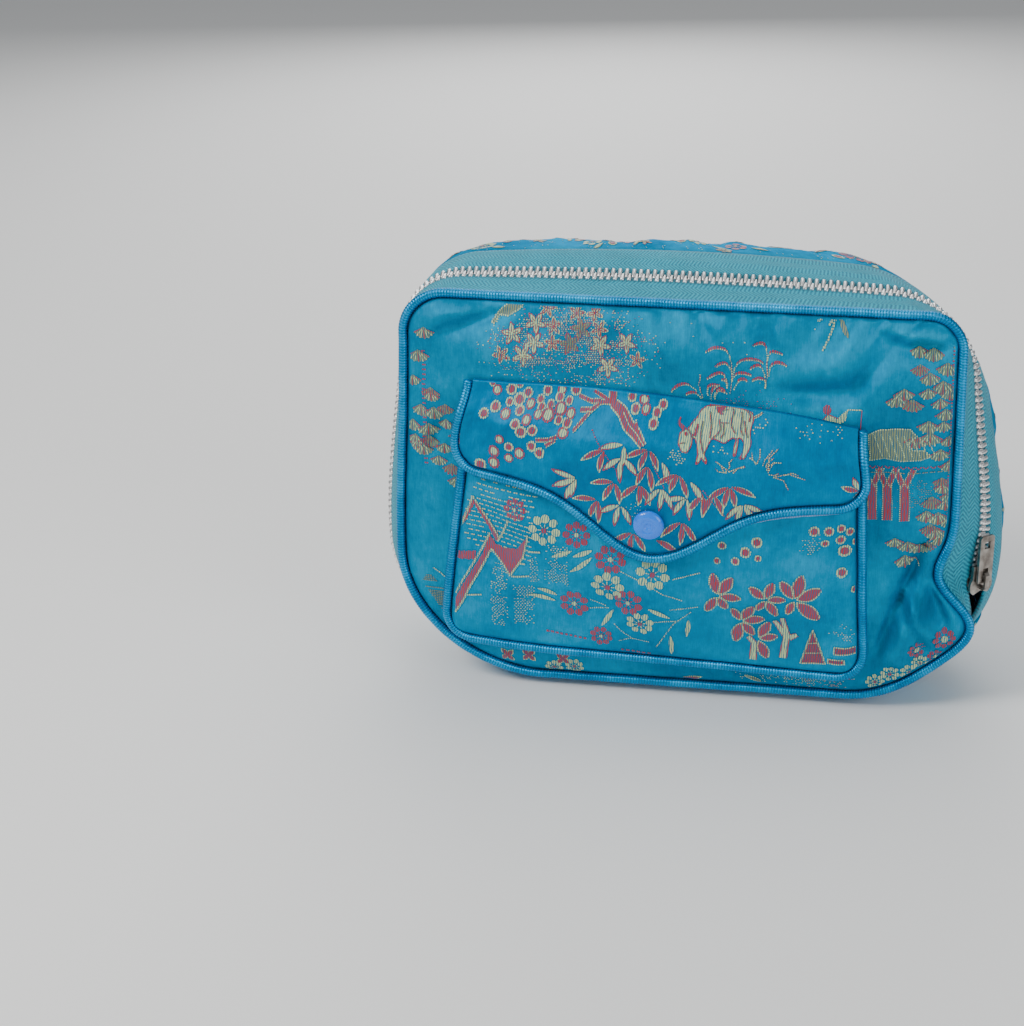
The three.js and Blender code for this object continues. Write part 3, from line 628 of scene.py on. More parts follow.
def make_mesh(name: str, points: Array, faces: Array, smooth_faces: bool = True, plan: Array | None = None) -> Piece:
    """Makes an object from points in millimetres and faces that all have as many corners.

    Args:
        name: the object's name.
        points: n by 3 points in millimetres.
        faces: m by k indices.
        smooth_faces: whether the faces are smooth shaded.
        plan: n by 2 places on the cloth, in millimetres, which the weave follows.

    Returns:
        The new object, linked to the scene.
    """
    faces = np.asarray(faces, np.int32)
    mesh = bpy.data.meshes.new(name)
    mesh.vertices.add(len(points))
    mesh.vertices.foreach_set("co", (np.asarray(points, np.float32) * MM).ravel())
    mesh.loops.add(faces.size)
    mesh.loops.foreach_set("vertex_index", faces.ravel())
    mesh.polygons.add(len(faces))
    mesh.polygons.foreach_set("loop_start", np.arange(0, faces.size, faces.shape[1], dtype=np.int32))
    mesh.update(calc_edges=True)
    mesh.polygons.foreach_set("use_smooth", np.full(len(faces), smooth_faces))
    if plan is not None:
        layer = mesh.uv_layers.new(name="plan")
        layer.data.foreach_set("uv", np.asarray(plan, np.float32)[faces.ravel()].ravel())
    obj = bpy.data.objects.new(name, mesh)
    bpy.context.scene.collection.objects.link(obj)
    return obj


def grid_faces(rows: int, columns: int, wrap: bool = False, flip: bool = False) -> Array:
    """Quads between the points of a grid.

    Args:
        rows: number of rows of points.
        columns: number of points in a row.
        wrap: whether each row closes on itself.
        flip: turns the faces over.

    Returns:
        The quads' indices.
    """
    i = np.arange(rows - 1)[:, None]
    j = np.arange(columns if wrap else columns - 1)[None, :]
    k = (j + 1) % columns
    quads = [i * columns + j, i * columns + k, (i + 1) * columns + k, (i + 1) * columns + j]
    quads = np.stack([np.broadcast_to(q, (rows - 1, j.shape[1])) for q in quads], -1).reshape(-1, 4)
    return quads[:, ::-1] if flip else quads


def cloth_sheet(name: str, face: Array, wall: Array | Spot, plan: Array) -> Piece:
    """A closed sheet from a grid of outer points and its thickness direction.

    Args:
        name: the object's name.
        face: rows by columns by 3 points of the outer face.
        wall: the offset from the outer to the inner face, one for all points or one for each.
        plan: rows by columns by 2 places on the cloth.

    Returns:
        The new object.
    """
    rows, columns = face.shape[:2]
    count = rows * columns
    points = np.concatenate([face.reshape(-1, 3), (face + wall).reshape(-1, 3)])
    rim = np.concatenate([
        np.arange(columns - 1), np.arange(columns - 1, count - 1, columns),
        np.arange(count - 1, count - columns, -1), np.arange(count - columns, 0, -columns),
    ])
    after = np.roll(rim, -1)
    sides = np.stack([after, rim, rim + count, after + count], -1)
    faces = np.concatenate([grid_faces(rows, columns), grid_faces(rows, columns, flip=True) + count, sides])
    both = np.concatenate([plan.reshape(-1, 2)] * 2)
    obj = make_mesh(name, points, faces, plan=both)
    fix_normals(obj)
    return obj


def fix_normals(obj: Piece) -> None:
    """Turns a closed object's faces outwards.

    Args:
        obj: the closed object.
    """
    work = bmesh.new()
    work.from_mesh(obj.data)
    bmesh.ops.recalc_face_normals(work, faces=work.faces)
    work.to_mesh(obj.data)
    work.free()


def resample(line: Array, step: float, closed: bool) -> Array:
    """Points at even steps along a line.

    Args:
        line: n by 3 points.
        step: distance wanted between points.
        closed: whether the line closes on itself.

    Returns:
        The new points; a closed line doesn't repeat its first one.
    """
    if closed:
        line = np.concatenate([line, line[:1]])
    run = run_along(line)
    count = max(2, int(round(run[-1] / step)))
    at = np.linspace(0, run[-1], count + 1)
    at = at[:-1] if closed else at
    return np.stack([np.interp(at, run, line[:, k]) for k in range(3)], -1)


@dataclass
class Piping:
    """A satin-covered cord along a line, with the fine ribs of its wrapping.

    Attributes:
        radius: half the cord's thickness.
        rib: length of one rib.
        rib_depth: depth of the grooves between ribs.
        sides: facets round the cord.
    """

    radius: float = 1.6
    rib: float = 1.0
    rib_depth: float = 0.2
    sides: int = 14

    def build(self, name: str, line: Array, closed: bool) -> Piece:
        """Sweeps the cord.

        Args:
            name: the piece's name.
            line: the cord's middle line.
            closed: whether it closes on itself.

        Returns:
            The cord as an object.
        """
        points = resample(line, self.rib / 4, closed)
        after, before = np.roll(points, -1, 0), np.roll(points, 1, 0)
        if not closed:
            after[-1], before[0] = points[-1], points[0]
        along = unit(after - before)
        side = unit(np.cross(np.array([0.0, 1.0, 0.0]), along))
        up = np.cross(along, side)
        angle = np.linspace(0, math.tau, self.sides, endpoint=False)
        step = np.arange(len(points))[:, None]
        wave = np.abs(np.cos(step * math.pi / 4 + angle[None, :] * 0.5))
        slack = 0.03 * ripple(step * 0.02, angle[None, :] * 0.2, 5)
        radius = self.radius - self.rib_depth * (1 - wave) ** 1.3 + self.radius * slack
        if not closed:
            radius[0] = radius[-1] = 0.02
        ring = side[:, None] * np.cos(angle)[None, :, None] + up[:, None] * np.sin(angle)[None, :, None]
        body = points[:, None] + ring * radius[..., None]
        count = len(points)
        faces = grid_faces(count, self.sides, wrap=True)
        if closed:
            last, first = (count - 1) * self.sides + np.arange(self.sides), np.arange(self.sides)
            faces = np.concatenate([faces, np.stack([last, np.roll(last, -1), np.roll(first, -1), first], -1)])
        plan = np.stack(np.broadcast_arrays(step * self.rib / 4 + angle * self.rib / math.tau, angle * self.radius), -1)
        obj = make_mesh(name, body.reshape(-1, 3), faces, plan=plan.reshape(-1, 2))
        fix_normals(obj)
        return obj


# Cloth simulation


@dataclass
class ClothTrial:
    """A simulated pinned rectangle of cloth, whose movement is read back as a field over its plan.

    Attributes:
        low: lowest plan coordinates, in millimetres.
        high: highest plan coordinates.
        pitch: size of a cell.
        spare: how much longer the cloth is than its place, as a share.
        pressure: the filling's push.
        stiffness: how much it resists bending.
        cap: the farthest that a point may move, in millimetres.
        frames: how many steps are run.
        calm: how often the movement is evened out with its neighbours.
    """

    low: tuple[float, float]
    high: tuple[float, float]
    pitch: float = 2.2
    spare: float = 0.03
    pressure: float = 1.5
    stiffness: float = 0.4
    cap: float = 4
    frames: int = 22
    calm: int = 2

    def run(self, name: str, rest: Callable[[Array, Array], Array], inside: Callable[[Array, Array], Array]) -> None:
        """Runs the simulation and keeps how far each point moved.

        Args:
            name: name of the scratch object.
            rest: gives the points of the cloth at rest for plan coordinates.
            inside: says how far inside the sewn edge a place is, in millimetres.
        """
        nu, nv = (int(round((h - l) / self.pitch)) + 1 for l, h in zip(self.low, self.high))
        self.u, self.v = np.linspace(self.low[0], self.high[0], nu), np.linspace(self.low[1], self.high[1], nv)
        grid_u, grid_v = np.meshgrid(self.u, self.v)
        start = rest(grid_u.ravel(), grid_v.ravel())
        depth = inside(grid_u.ravel(), grid_v.ravel())
        sewn = depth < self.pitch * 0.75
        self.move = np.zeros((nv, nu, 3))
        quads = grid_faces(nv, nu)
        quads = quads[(depth[quads] > -self.pitch).any(1)]
        used = np.unique(quads)
        index = np.full(len(start), -1)
        index[used] = np.arange(len(used))
        obj = make_mesh(name, start[used], index[quads])
        pin = obj.vertex_groups.new(name="pin")
        pin.add(np.flatnonzero(sewn[used]).tolist(), 1.0, "REPLACE")
        cloth = obj.modifiers.new("cloth", "CLOTH")
        settings = cloth.settings
        settings.quality = 6
        settings.mass = 0.25
        settings.air_damping = 4
        settings.tension_stiffness = settings.compression_stiffness = 18
        settings.shear_stiffness = 8
        settings.bending_stiffness = self.stiffness
        settings.tension_damping = settings.compression_damping = 12
        settings.vertex_group_mass = "pin"
        settings.pin_stiffness = 1
        settings.shrink_min = settings.shrink_max = -self.spare
        settings.use_pressure = True
        settings.uniform_pressure_force = self.pressure
        settings.effector_weights.gravity = 0
        cloth.collision_settings.use_collision = False
        cloth.point_cache.frame_start, cloth.point_cache.frame_end = 1, self.frames
        scene = bpy.context.scene
        for step in range(1, self.frames + 1):
            scene.frame_set(step)
        shown = obj.evaluated_get(bpy.context.evaluated_depsgraph_get())
        now = np.zeros(len(used) * 3, np.float32)
        shown.data.vertices.foreach_get("co", now)
        moved = now.reshape(-1, 3) / MM - start[used]
        length = np.linalg.norm(moved, axis=1, keepdims=True)
        moved *= np.minimum(1, self.cap / np.maximum(length, 1e-6))
        flat = self.move.reshape(-1, 3)
        flat[used] = moved
        flat[sewn] = 0
        for _ in range(self.calm):
            for axis in (0, 1):
                near = np.roll(self.move, 1, axis) + np.roll(self.move, -1, axis)
                self.move = np.where(sewn.reshape(nv, nu, 1), 0, 0.5 * self.move + 0.25 * near)
        scene.frame_set(1)
        bpy.data.objects.remove(obj)
        LOG.info("%s: largest move %.1f mm", name, float(length.max()))

    def at(self, u: Array, v: Array) -> Array:
        """The movement at plan coordinates, read smoothly from the field.

        Args:
            u: first plan coordinate.
            v: second plan coordinate.

        Returns:
            The movements.
        """
        fu = np.clip((u - self.u[0]) / (self.u[1] - self.u[0]), 0, len(self.u) - 1.001)
        fv = np.clip((v - self.v[0]) / (self.v[1] - self.v[0]), 0, len(self.v) - 1.001)
        iu, iv = fu.astype(int), fv.astype(int)
        su, sv = fu - iu, fv - iv
        total = 0
        for a in range(-1, 3):
            for b in range(-1, 3):
                weight = self._cubic(su, a) * self._cubic(sv, b)
                row = np.clip(iv + b, 0, len(self.v) - 1)
                column = np.clip(iu + a, 0, len(self.u) - 1)
                total = total + weight[..., None] * self.move[row, column]
        return total

    @staticmethod
    def _cubic(share: Array, tap: int) -> Array:
        """Weight of one of four neighbours in a smooth blend.

        Args:
            share: the place between two cells, 0 to 1.
            tap: the neighbour, -1 to 2.

        Returns:
            The weights.
        """
        s = np.abs(share - tap)
        near = (1.5 * s - 2.5) * s * s + 1
        far = ((-0.5 * s + 2.5) * s - 4) * s + 2
        return np.where(s < 1, near, np.where(s < 2, far, 0))


# Surfaces that carry the pattern


class Surface:
    """A cloth face laid out in two plan coordinates."""

    outward = np.array([0.0, -1.0, 0.0])

    def at(self, u: Array, v: Array) -> Array:
        """Points of the outer face, in millimetres."""
        raise NotImplementedError

    def clip(self, u: Array, v: Array) -> Pair:
        """Moves places beyond the cloth's edge back onto it."""
        return u, v

    def normal(self, u: Array, v: Array, step: float = 0.4) -> Array:
        """Outward directions.

        Args:
            u: first plan coordinate.
            v: second plan coordinate.
            step: how far apart the face is compared.

        Returns:
            Unit directions.
        """
        du = self.at(u + step, v) - self.at(u - step, v)
        dv = self.at(u, v + step) - self.at(u, v - step)
        normal = np.cross(du, dv)
        normal /= np.maximum(np.linalg.norm(normal, axis=-1, keepdims=True), 1e-9)
        facing = np.sign((normal * self.outward).sum(-1, keepdims=True))
        return normal * np.where(facing == 0, 1, facing)


@dataclass(frozen=True)
class Crease:
    """A fold along a line of x and z places: a bulge on its upper side that falls into a narrow valley."""

    line: tuple[tuple[float, float], ...]
    bulge: float
    valley: float
    reach: float = 8
    narrow: float = 2.2

    def rise(self, x: Array, z: Array) -> Array:
        """How far the crease lifts the cloth at places.

        Args:
            x: places across.
            z: heights.

        Returns:
            The rise, below 0 in the valley.
        """
        spots = np.asarray(self.line, float)
        best, side, end = np.full(np.shape(x), 1e6), np.zeros(np.shape(x)), np.zeros(np.shape(x))
        length = np.hypot(*np.diff(spots, axis=0).T)
        run = np.concatenate([[0], np.cumsum(length)])
        for k, (a, b) in enumerate(zip(spots[:-1], spots[1:])):
            step = (b - a) / length[k]
            along = (x - a[0]) * step[0] + (z - a[1]) * step[1]
            kept = np.clip(along, 0, length[k])
            away = np.hypot(x - a[0] - kept * step[0], z - a[1] - kept * step[1])
            near = away < best
            best = np.where(near, away, best)
            side = np.where(near, np.sign((z - a[1]) * step[0] - (x - a[0]) * step[1]), side)
            end = np.where(near, run[k] + kept, end)
        fade = np.sin(math.pi * np.clip(end / run[-1], 0, 1)) ** 0.6
        signed = best * side
        bulge = np.exp(-(((signed - self.reach * 0.85) / (self.reach * 0.62)) ** 2))
        valley = np.exp(-((signed / np.where(signed > 0, self.narrow * 1.6, self.narrow)) ** 2))
        return fade * (self.bulge * bulge - self.valley * valley)


@dataclass
class FrontSurface(Surface):
    """The front panel over x and z, with simulated folds and the puckers of its seam."""

    form: PurseForm
    pocket: PocketForm
    creases: tuple[Crease, ...] = (
        Crease(((27, 119.5), (36, 118.6), (47, 118.6), (58, 121), (66, 128), (72, 138)), 4.6, 2.6, 10),
        Crease(((66, 140), (72, 138), (78, 136), (86, 136.5), (95, 135)), 2.6, 2.4, 6.5),
        Crease(((87, 68), (82, 56), (77, 42), (69, 20)), 3.8, 4.6, 6),
        Crease(((76, 49), (81, 36), (90, 21)), 3.0, 2.8, 4.5),
        Crease(((86, 56), (90, 44), (95, 33)), 2.6, 2.8, 4.5),
        Crease(((-86, 132), (-72, 137), (-54, 146)), 2.4, 2.0, 8),
        Crease(((-90, 84), (-85, 96), (-80, 106)), 1.2, 1.2, 6),
        Crease(((7, 148), (9, 141), (13, 133)), 1.2, 1.3, 4.5),
        Crease(((26, 148), (29, 140), (31, 130)), 1.2, 1.3, 4.5),
        Crease(((-30, 12), (0, 9), (40, 10)), 1.2, 1.0, 6),
    )
    trial: ClothTrial = field(default_factory=lambda: ClothTrial((-100, 4), (104, 148), cap=4.5, spare=0.035))

    def simulate(self) -> None:
        """Runs the panel's cloth trial, which is held by its seam and under the pocket."""
        self.trial.run("front_trial", self.rest, self._free)

    def _free(self, x: Array, z: Array) -> Array:
        """How far a place is from what holds the cloth, negative outside the seam."""
        inside = self.form.inside(self.form.front_edge, x, z)
        return np.minimum(inside, np.where(inside > 0, np.maximum(self.pocket.outside(x, z) - 2, 0), 99))

    def clip(self, u: Array, v: Array) -> Pair:
        """Moves places beyond the seam back inside it."""
        return self.form.clip(self.form.front_edge, u, v)

    def rest(self, x: Array, z: Array) -> Array:
        """The panel before simulation."""
        return np.stack([x, self.form.front_face(x, z), z], -1)

    def at(self, u: Array, v: Array) -> Array:
        """Points of the outer face.

        Args:
            u: first plan coordinate.
            v: second plan coordinate.

        Returns:
            The points.
        """
        share, inside, run = self.form.share(self.form.front_edge, u, v)
        points = self.rest(u, v)
        top = bell((v - self.form.top) / 22) * (0.4 + smooth(-30, 20, u) * 1.3)
        corner = bell((u - 86) / 22) * bell((v - 42) / 26) * 1.5
        strength = 0.16 + top + corner
        pucker = gathers(run, inside, 11, 9.5, 7) + 0.5 * gathers(run, inside, 3, 5, 3.5, 30)
        points[..., 1] -= 0.55 * strength * pucker
        points[..., 1] += 1.1 * np.exp(-inside / 1.1)
        points[..., 1] -= 0.08 * ripple(u / 26, v / 20, 21) * smooth(0, 10, inside)
        free = smooth(0.5, 5, self.pocket.outside(u, v)) * smooth(0, 7, inside)
        points[..., 1] -= sum(crease.rise(u, v) for crease in self.creases) * free
        return points + self.trial.at(u, v)


@dataclass
class BackSurface(Surface):
    """The back panel over x and z."""

    form: PurseForm
    outward = np.array([0.0, 1.0, 0.0])

    def clip(self, u: Array, v: Array) -> Pair:
        """Moves places beyond the seam back inside it."""
        return self.form.clip(self.form.back_edge, u, v)

    def at(self, u: Array, v: Array) -> Array:
        """Points of the outer face.

        Args:
            u: first plan coordinate.
            v: second plan coordinate.

        Returns:
            The points.
        """
        _, inside, run = self.form.share(self.form.back_edge, u, v)
        y = self.form.back_face(u, v)
        y = y + 0.3 * gathers(run, inside, 31, 9, 7) - 1.1 * np.exp(-inside / 1.1)
        y = y + 0.5 * ripple(u / 60, v / 45, 8) * smooth(0, 14, inside) + 0.15 * ripple(u / 14, v / 18, 9)
        return np.stack([u, y, v], -1)


@dataclass
class PocketSurface(Surface):
    """The pocket over its plan coordinates."""

    pocket: PocketForm
    trial: ClothTrial = field(
        default_factory=lambda: ClothTrial((-3, 8), (152, 104), cap=2.2, spare=0.02, pressure=1.0))

    def _inside(self, along: Array, down: Array) -> Array:
        """How far inside the pocket's piping a place is.

        Args:
            along: places along from the flap's corner.
            down: places down from the flap's corner.

        Returns:
            The distances.
        """
        left, width = self.pocket.sides(down, self.pocket.body_inset)
        across = np.clip((along - left) / width, 0, 1)
        bottom = self.pocket.bottom(across, self.pocket.body_inset)
        return np.minimum(np.minimum(along - left, left + width - along), bottom - down)

    def simulate(self) -> None:
        """Runs the pocket's cloth trial, in which the flap holds the part that it covers."""
        self.trial.run("pocket_trial", self.rest, lambda u, v: np.minimum(self._inside(u, v), self._below_flap(u, v)))

    def _below_flap(self, along: Array, down: Array) -> Array:
        """How far a place lies below the flap's edge."""
        return np.maximum(down - self.pocket.flap_edge(along) - 4, 0)

    def clip(self, u: Array, v: Array) -> Pair:
        """Moves places beyond the pocket's edge back onto it.

        Args:
            u: first plan coordinate.
            v: second plan coordinate.

        Returns:
            The places on the cloth.
        """
        left, width = self.pocket.sides(v, self.pocket.body_inset + 0.6)
        u = np.clip(u, left, left + width)
        return u, np.minimum(v, self.pocket.bottom(np.clip((u - left) / width, 0, 1), self.pocket.body_inset + 0.6))

    def rest(self, along: Array, down: Array) -> Array:
        """The pocket before simulation."""
        return self.pocket.place(along, down, self.pocket.pocket_stand(along, down))

    def at(self, u: Array, v: Array) -> Array:
        """Points of the outer face.

        Args:
            u: first plan coordinate.
            v: second plan coordinate.

        Returns:
            The points.
        """
        points = self.rest(u, v)
        inside = np.maximum(self._inside(u, v), 0)
        run = np.where(self.pocket.drop_right - v < 20, u, v)
        points[..., 1] -= 0.22 * gathers(run, inside, 41) + 0.25 * ripple(u / 45, v / 30, 42) * smooth(0, 12, inside)
        points[..., 1] += 1.0 * np.exp(-inside / 1.0)
        return points + self.trial.at(u, v)


@dataclass
class FlapSurface(Surface):
    """The flap over its plan coordinates."""

    pocket: PocketForm
    trial: ClothTrial = field(default_factory=lambda: ClothTrial((2, -4), (144, 54), cap=1.8, spare=0.02, pressure=0.8))

    def _inside(self, along: Array, down: Array) -> Array:
        """How far inside the flap's edges a place is.

        Args:
            along: places along from the flap's corner.
            down: places down from the flap's corner.

        Returns:
            The distances.
        """
        inset = self.pocket.body_inset
        sides = np.minimum(along - inset, self.pocket.flap_width - inset - along)
        return np.minimum(np.minimum(sides, self.pocket.flap_edge(along) - down), down - self.pocket.flap_top(along))

    def clip(self, u: Array, v: Array) -> Pair:
        """Moves places beyond the flap's edge back onto it.

        Args:
            u: first plan coordinate.
            v: second plan coordinate.

        Returns:
            The places on the cloth.
        """
        inset = self.pocket.body_inset + 0.6
        u = np.clip(u, inset, self.pocket.flap_width - inset)
        return u, np.clip(v, self.pocket.flap_top(u) + 0.3, self.pocket.flap_edge(u) - 0.6)

    def simulate(self) -> None:
        """Runs the flap's cloth trial."""
        self.trial.run("flap_trial", self.rest, self._inside)

    def rest(self, along: Array, down: Array) -> Array:
        """The flap before simulation."""
        stand = self.pocket.flap_stand(along, down)
        return self.pocket.place(self.pocket.flap_along(along, down), down, stand)

    def at(self, u: Array, v: Array) -> Array:
        """Points of the outer face.

        Args:
            u: first plan coordinate.
            v: second plan coordinate.

        Returns:
            The points.
        """
        points = self.rest(u, v)
        edge = np.maximum(self.pocket.flap_edge(u) - v, 0)
        inside = np.maximum(self._inside(u, v), 0)
        points[..., 1] -= 0.2 * gathers(u, edge, 51)
        points[..., 1] += 0.9 * np.exp(-edge / 1.0) - 0.3 * ripple(u / 40, v / 22, 52) * smooth(0, 10, inside)
        return points + self.trial.at(u, v)


def run_round(form: PurseForm, place: Array) -> Array:
    """Distance round the ring, in millimetres, of places on it.

    Args:
        form: the purse's form.
        place: places round the ring, 0 to 8.

    Returns:
        The distances.
    """
    table = np.linspace(-1, 9, 4001)
    x, z, _, _ = form.ring(table, np.zeros_like(table))
    run = run_flat(x, z)
    return np.interp(place, table, run)


def even_places(form: PurseForm, first: float, last: float, count: int) -> Array:
    """Places of the ring that lie at even distances from each other.

    Args:
        form: the purse's form.
        first: first place.
        last: last place.
        count: how many.

    Returns:
        The places.
    """
    table = np.linspace(first, last, 2000)
    run = run_round(form, table)
    return np.interp(np.linspace(run[0], run[-1], count), run, table)


def place_at(form: PurseForm, run: Array) -> Array:
    """Places of the ring at distances round it."""
    table = np.linspace(-1, 9, 4001)
    return np.interp(run, run_round(form, table), table)


def strip_lift(form: PurseForm, run: Array, y: Array, near: float, far: float, place: Array) -> Array:
    """How far a gusset strip's cloth stands off its even form: soft bulges, and a ditch along each seam.

    Args:
        form: the purse's form.
        run: distances round the ring.
        y: depths.
        near: depth of its front edge.
        far: depth of its rear edge.
        place: places round the ring, 0 to 8.

    Returns:
        The distances.
    """
    edge = np.minimum(y - near, far - y)
    uneven = 0.5 * ripple(run / 26, y / 26, 61) + 0.2 * ripple(run / 9, y / 14, 62)
    lift = uneven * smooth(0, 6, edge) - 0.6 * np.exp(-np.maximum(edge, 0) / 1.0)
    _, z, _, _ = form.ring(place, y)
    return np.where(z < 6, np.minimum(lift, 0), lift)


@dataclass
class BandSurface(Surface):
    """A strip of the gusset over its depth and the run round the ring."""

    form: PurseForm
    near: float
    far: float

    outward = None

    def clip(self, u: Array, v: Array) -> Pair:
        """Moves places beyond the strip's edges back onto it."""
        return np.clip(u, self.near + 0.6, self.far - 0.6), v

    def at(self, u: Array, v: Array) -> Array:
        """Points of the outer face over the depth and the run round the ring."""
        place = place_at(self.form, v)
        return self.form.gusset(place, u, strip_lift(self.form, v, u, self.near, self.far, place))

    def normal(self, u: Array, v: Array, step: float = 0.4) -> Array:
        """Outward directions."""
        return self.form.gusset_normal(place_at(self.form, v), u)


# The woven pattern


class Thread(Enum):
    """Weft threads that float over the satin to draw the pattern."""

    GOLD = "gold"
    CRIMSON = "crimson"
    KHAKI = "khaki"


GOLD, CRIMSON, KHAKI = Thread


def two_threads(red: bool) -> tuple[Thread, Thread]:
    """Crimson and gold where the figure is red, gold and crimson elsewhere."""
    return (CRIMSON, GOLD) if red else (GOLD, CRIMSON)


@dataclass
class Brocade:
    """Woven figures laid on one cloth face, each a flat float of thread that follows the cloth.

    Attributes:
        surface: the cloth face.
        up: 1 where the face's second plan coordinate grows upwards, -1 where it grows downwards.
        lift: how far the threads stand off the satin, in millimetres.
        seed: picks the unevenness of the threads.
    """

    surface: Surface
    up: float = 1
    lift: float = 0.13
    seed: int = 1

    def __post_init__(self) -> None:
        """Starts with an empty pattern."""
        self.points: dict[Thread, list[Array]] = {thread: [] for thread in Thread}
        self.faces: dict[Thread, list[Array]] = {thread: [] for thread in Thread}
        self.layers: dict[Thread, list[Array]] = {thread: [] for thread in Thread}
        self.counts = {thread: 0 for thread in Thread}
        self.rng = np.random.default_rng(self.seed)

    def add(self, thread: Thread, points: Array, faces: Array, layer: int) -> None:
        """Keeps a patch of thread: plan points, triangles between them, and how many threads lie below.

        Args:
            thread: the thread.
            points: plan points.
            faces: triangles between them.
            layer: how many threads lie below.
        """
        self.points[thread].append(np.asarray(points, float))
        self.faces[thread].append(np.asarray(faces, int) + self.counts[thread])
        self.layers[thread].append(np.full(len(points), float(layer)))
        self.counts[thread] += len(points)

    def away(self, spot: Spot, angle: float, reach: float) -> tuple[float, float]:
        """A place at an angle and a distance from another."""
        return spot[0] + reach * math.cos(angle), spot[1] + self.up * reach * math.sin(angle)

    def fan(self, thread: Thread, centre: Spot, angles: Array, radii: Array, layer: int = 0) -> None:
        """Fills a shape given by its radius at each angle round a centre.

        Args:
            thread: the thread.
            centre: its middle in the plan.
            angles: angles in order.
            radii: the radius at each angle.
            layer: how many threads lie below.
        """
        rings = 2 if radii.max() > 1.4 else 1
        shares = (np.arange(rings) + 1) / rings
        x = centre[0] + (shares[:, None] * radii * np.cos(angles)).ravel()
        y = centre[1] + self.up * (shares[:, None] * radii * np.sin(angles)).ravel()
        points = np.concatenate([[[centre[0], centre[1]]], np.stack([x, y], -1)])
        count = len(angles)
        here = np.arange(count)
        after = (here + 1) % count
        faces = [np.stack([np.zeros_like(here), here + 1, after + 1], -1)]
        for k in range(rings - 1):
            low, high = 1 + k * count, 1 + (k + 1) * count
            faces += [np.stack([low + here, high + here, high + after], -1),
                      np.stack([low + here, high + after, low + after], -1)]
        self.add(thread, points, np.concatenate(faces), layer)

    def disc(self, thread: Thread, centre: Spot, radius: float, layer: int = 0) -> None:
        """A round float with a slightly uneven rim."""
        angles = np.linspace(0, math.tau, 13)[:-1]
        self.fan(thread, centre, angles, radius * (1 + 0.07 * self.rng.uniform(-1, 1, 12)), layer)

    def berry(self, centre: Spot, pale: bool = False, size: float = 1.9) -> None:
        """A round berry with a rim of the other thread.

        Args:
            centre: its middle in the plan.
            pale: whether its core is gold.
            size: its radius.
        """
        rim, core = two_threads(pale)
        angles = np.linspace(0, math.tau, 25)[:-1]
        jag = 1 + 0.07 * np.where(np.arange(24) % 2, 1, -1) + 0.04 * self.rng.uniform(-1, 1, 24)
        self.fan(rim, centre, angles, size * jag)
        self.disc(core, centre, size * 0.66, 1)

    def blossom(self, centre: Spot, radius: float, petals: int = 8, body: Thread = GOLD,
                eye: Thread = CRIMSON, turn: float = 0.3) -> None:
        """A flower of rounded petals apart from each other, with short inner dashes and an eye.

        Args:
            centre: its middle in the plan.
            radius: its radius.
            petals: how many petals.
            body: the main thread.
            eye: the thread of the eye.
            turn: its turn.
        """
        around = np.linspace(0, math.tau, 9)[:-1]
        for k in range(petals):
            angle = turn + math.tau * k / petals + self.rng.uniform(-0.06, 0.06)
            ahead, side = np.array([math.cos(angle), math.sin(angle)]), np.array([-math.sin(angle), math.cos(angle)])
            ring = np.outer(np.cos(around) * 0.29, ahead) + np.outer(np.sin(around) * 2.1 / petals, side)
            ring = (ring + ahead * 0.74) * radius * [1, self.up] + [centre[0], centre[1]]
            rim = np.arange(8)
            fill = np.stack([np.full(8, 8), rim, (rim + 1) % 8], -1)
            self.add(body, np.concatenate([ring, ring.mean(0)[None]]), fill, 0)
            inner = [np.array([centre[0], centre[1]]) + ahead * reach * radius * [1, self.up] for reach in (0.2, 0.4)]
            self.strip(body, inner, 0.36)
        self.disc(eye, centre, radius * 0.17, 2)

    def star(self, centre: Spot, radius: float, turn: float = 90, body: Thread = GOLD,
             eye: Thread = CRIMSON) -> None:
        """A star of five pointed petals with shaded hearts.

        Args:
            centre: its middle in the plan.
            radius: its radius.
            turn: its turn in degrees.
            body: the main thread.
            eye: the thread of the eye.
        """
        for k in range(5):
            self.leaf(centre, radius, turn + 72 * k, radius * 0.5, body, eye, 0.0, 0.25)
            angle = math.radians(turn + 72 * k)
            self.strip(eye, [centre, self.away(centre, angle, 0.55 * radius)], 0.26, 2)
        self.disc(body, centre, radius * 0.14, 3)

    def strip(self, thread: Thread, line: Line, width: float | Spot,
              layer: int = 0, taper: bool = False) -> None:
        """A narrow float along a line, which may narrow towards its ends.

        Args:
            thread: the thread.
            line: its places in the plan.
            width: its width, or widths at even shares of its length.
            layer: how many threads lie below.
            taper: whether its ends are pointed.
        """
        line = np.asarray(line, float)
        run = run_flat(*line.T)
        count = max(2, int(math.ceil(run[-1] / 0.9)) + 1)
        at = np.linspace(0, run[-1], count)
        points = np.stack([np.interp(at, run, line[:, k]) for k in (0, 1)], -1)
        along = np.gradient(points, axis=0)
        along /= np.maximum(np.linalg.norm(along, axis=1, keepdims=True), 1e-9)
        side = np.stack([-along[:, 1], along[:, 0]], -1)
        share = at / run[-1]
        half = np.interp(share, np.linspace(0, 1, np.size(width)), np.atleast_1d(width)) / 2
        if taper:
            half = half * np.maximum(0.12, np.sin(math.pi * np.clip(share, 0.02, 0.98)) ** 0.7)
        both = np.stack([points - side * half[:, None], points + side * half[:, None]], 1).reshape(-1, 2)
        a = np.arange(count - 1) * 2
        faces = np.concatenate([np.stack([a, a + 1, a + 3], -1), np.stack([a, a + 3, a + 2], -1)])
        self.add(thread, both, faces, layer)

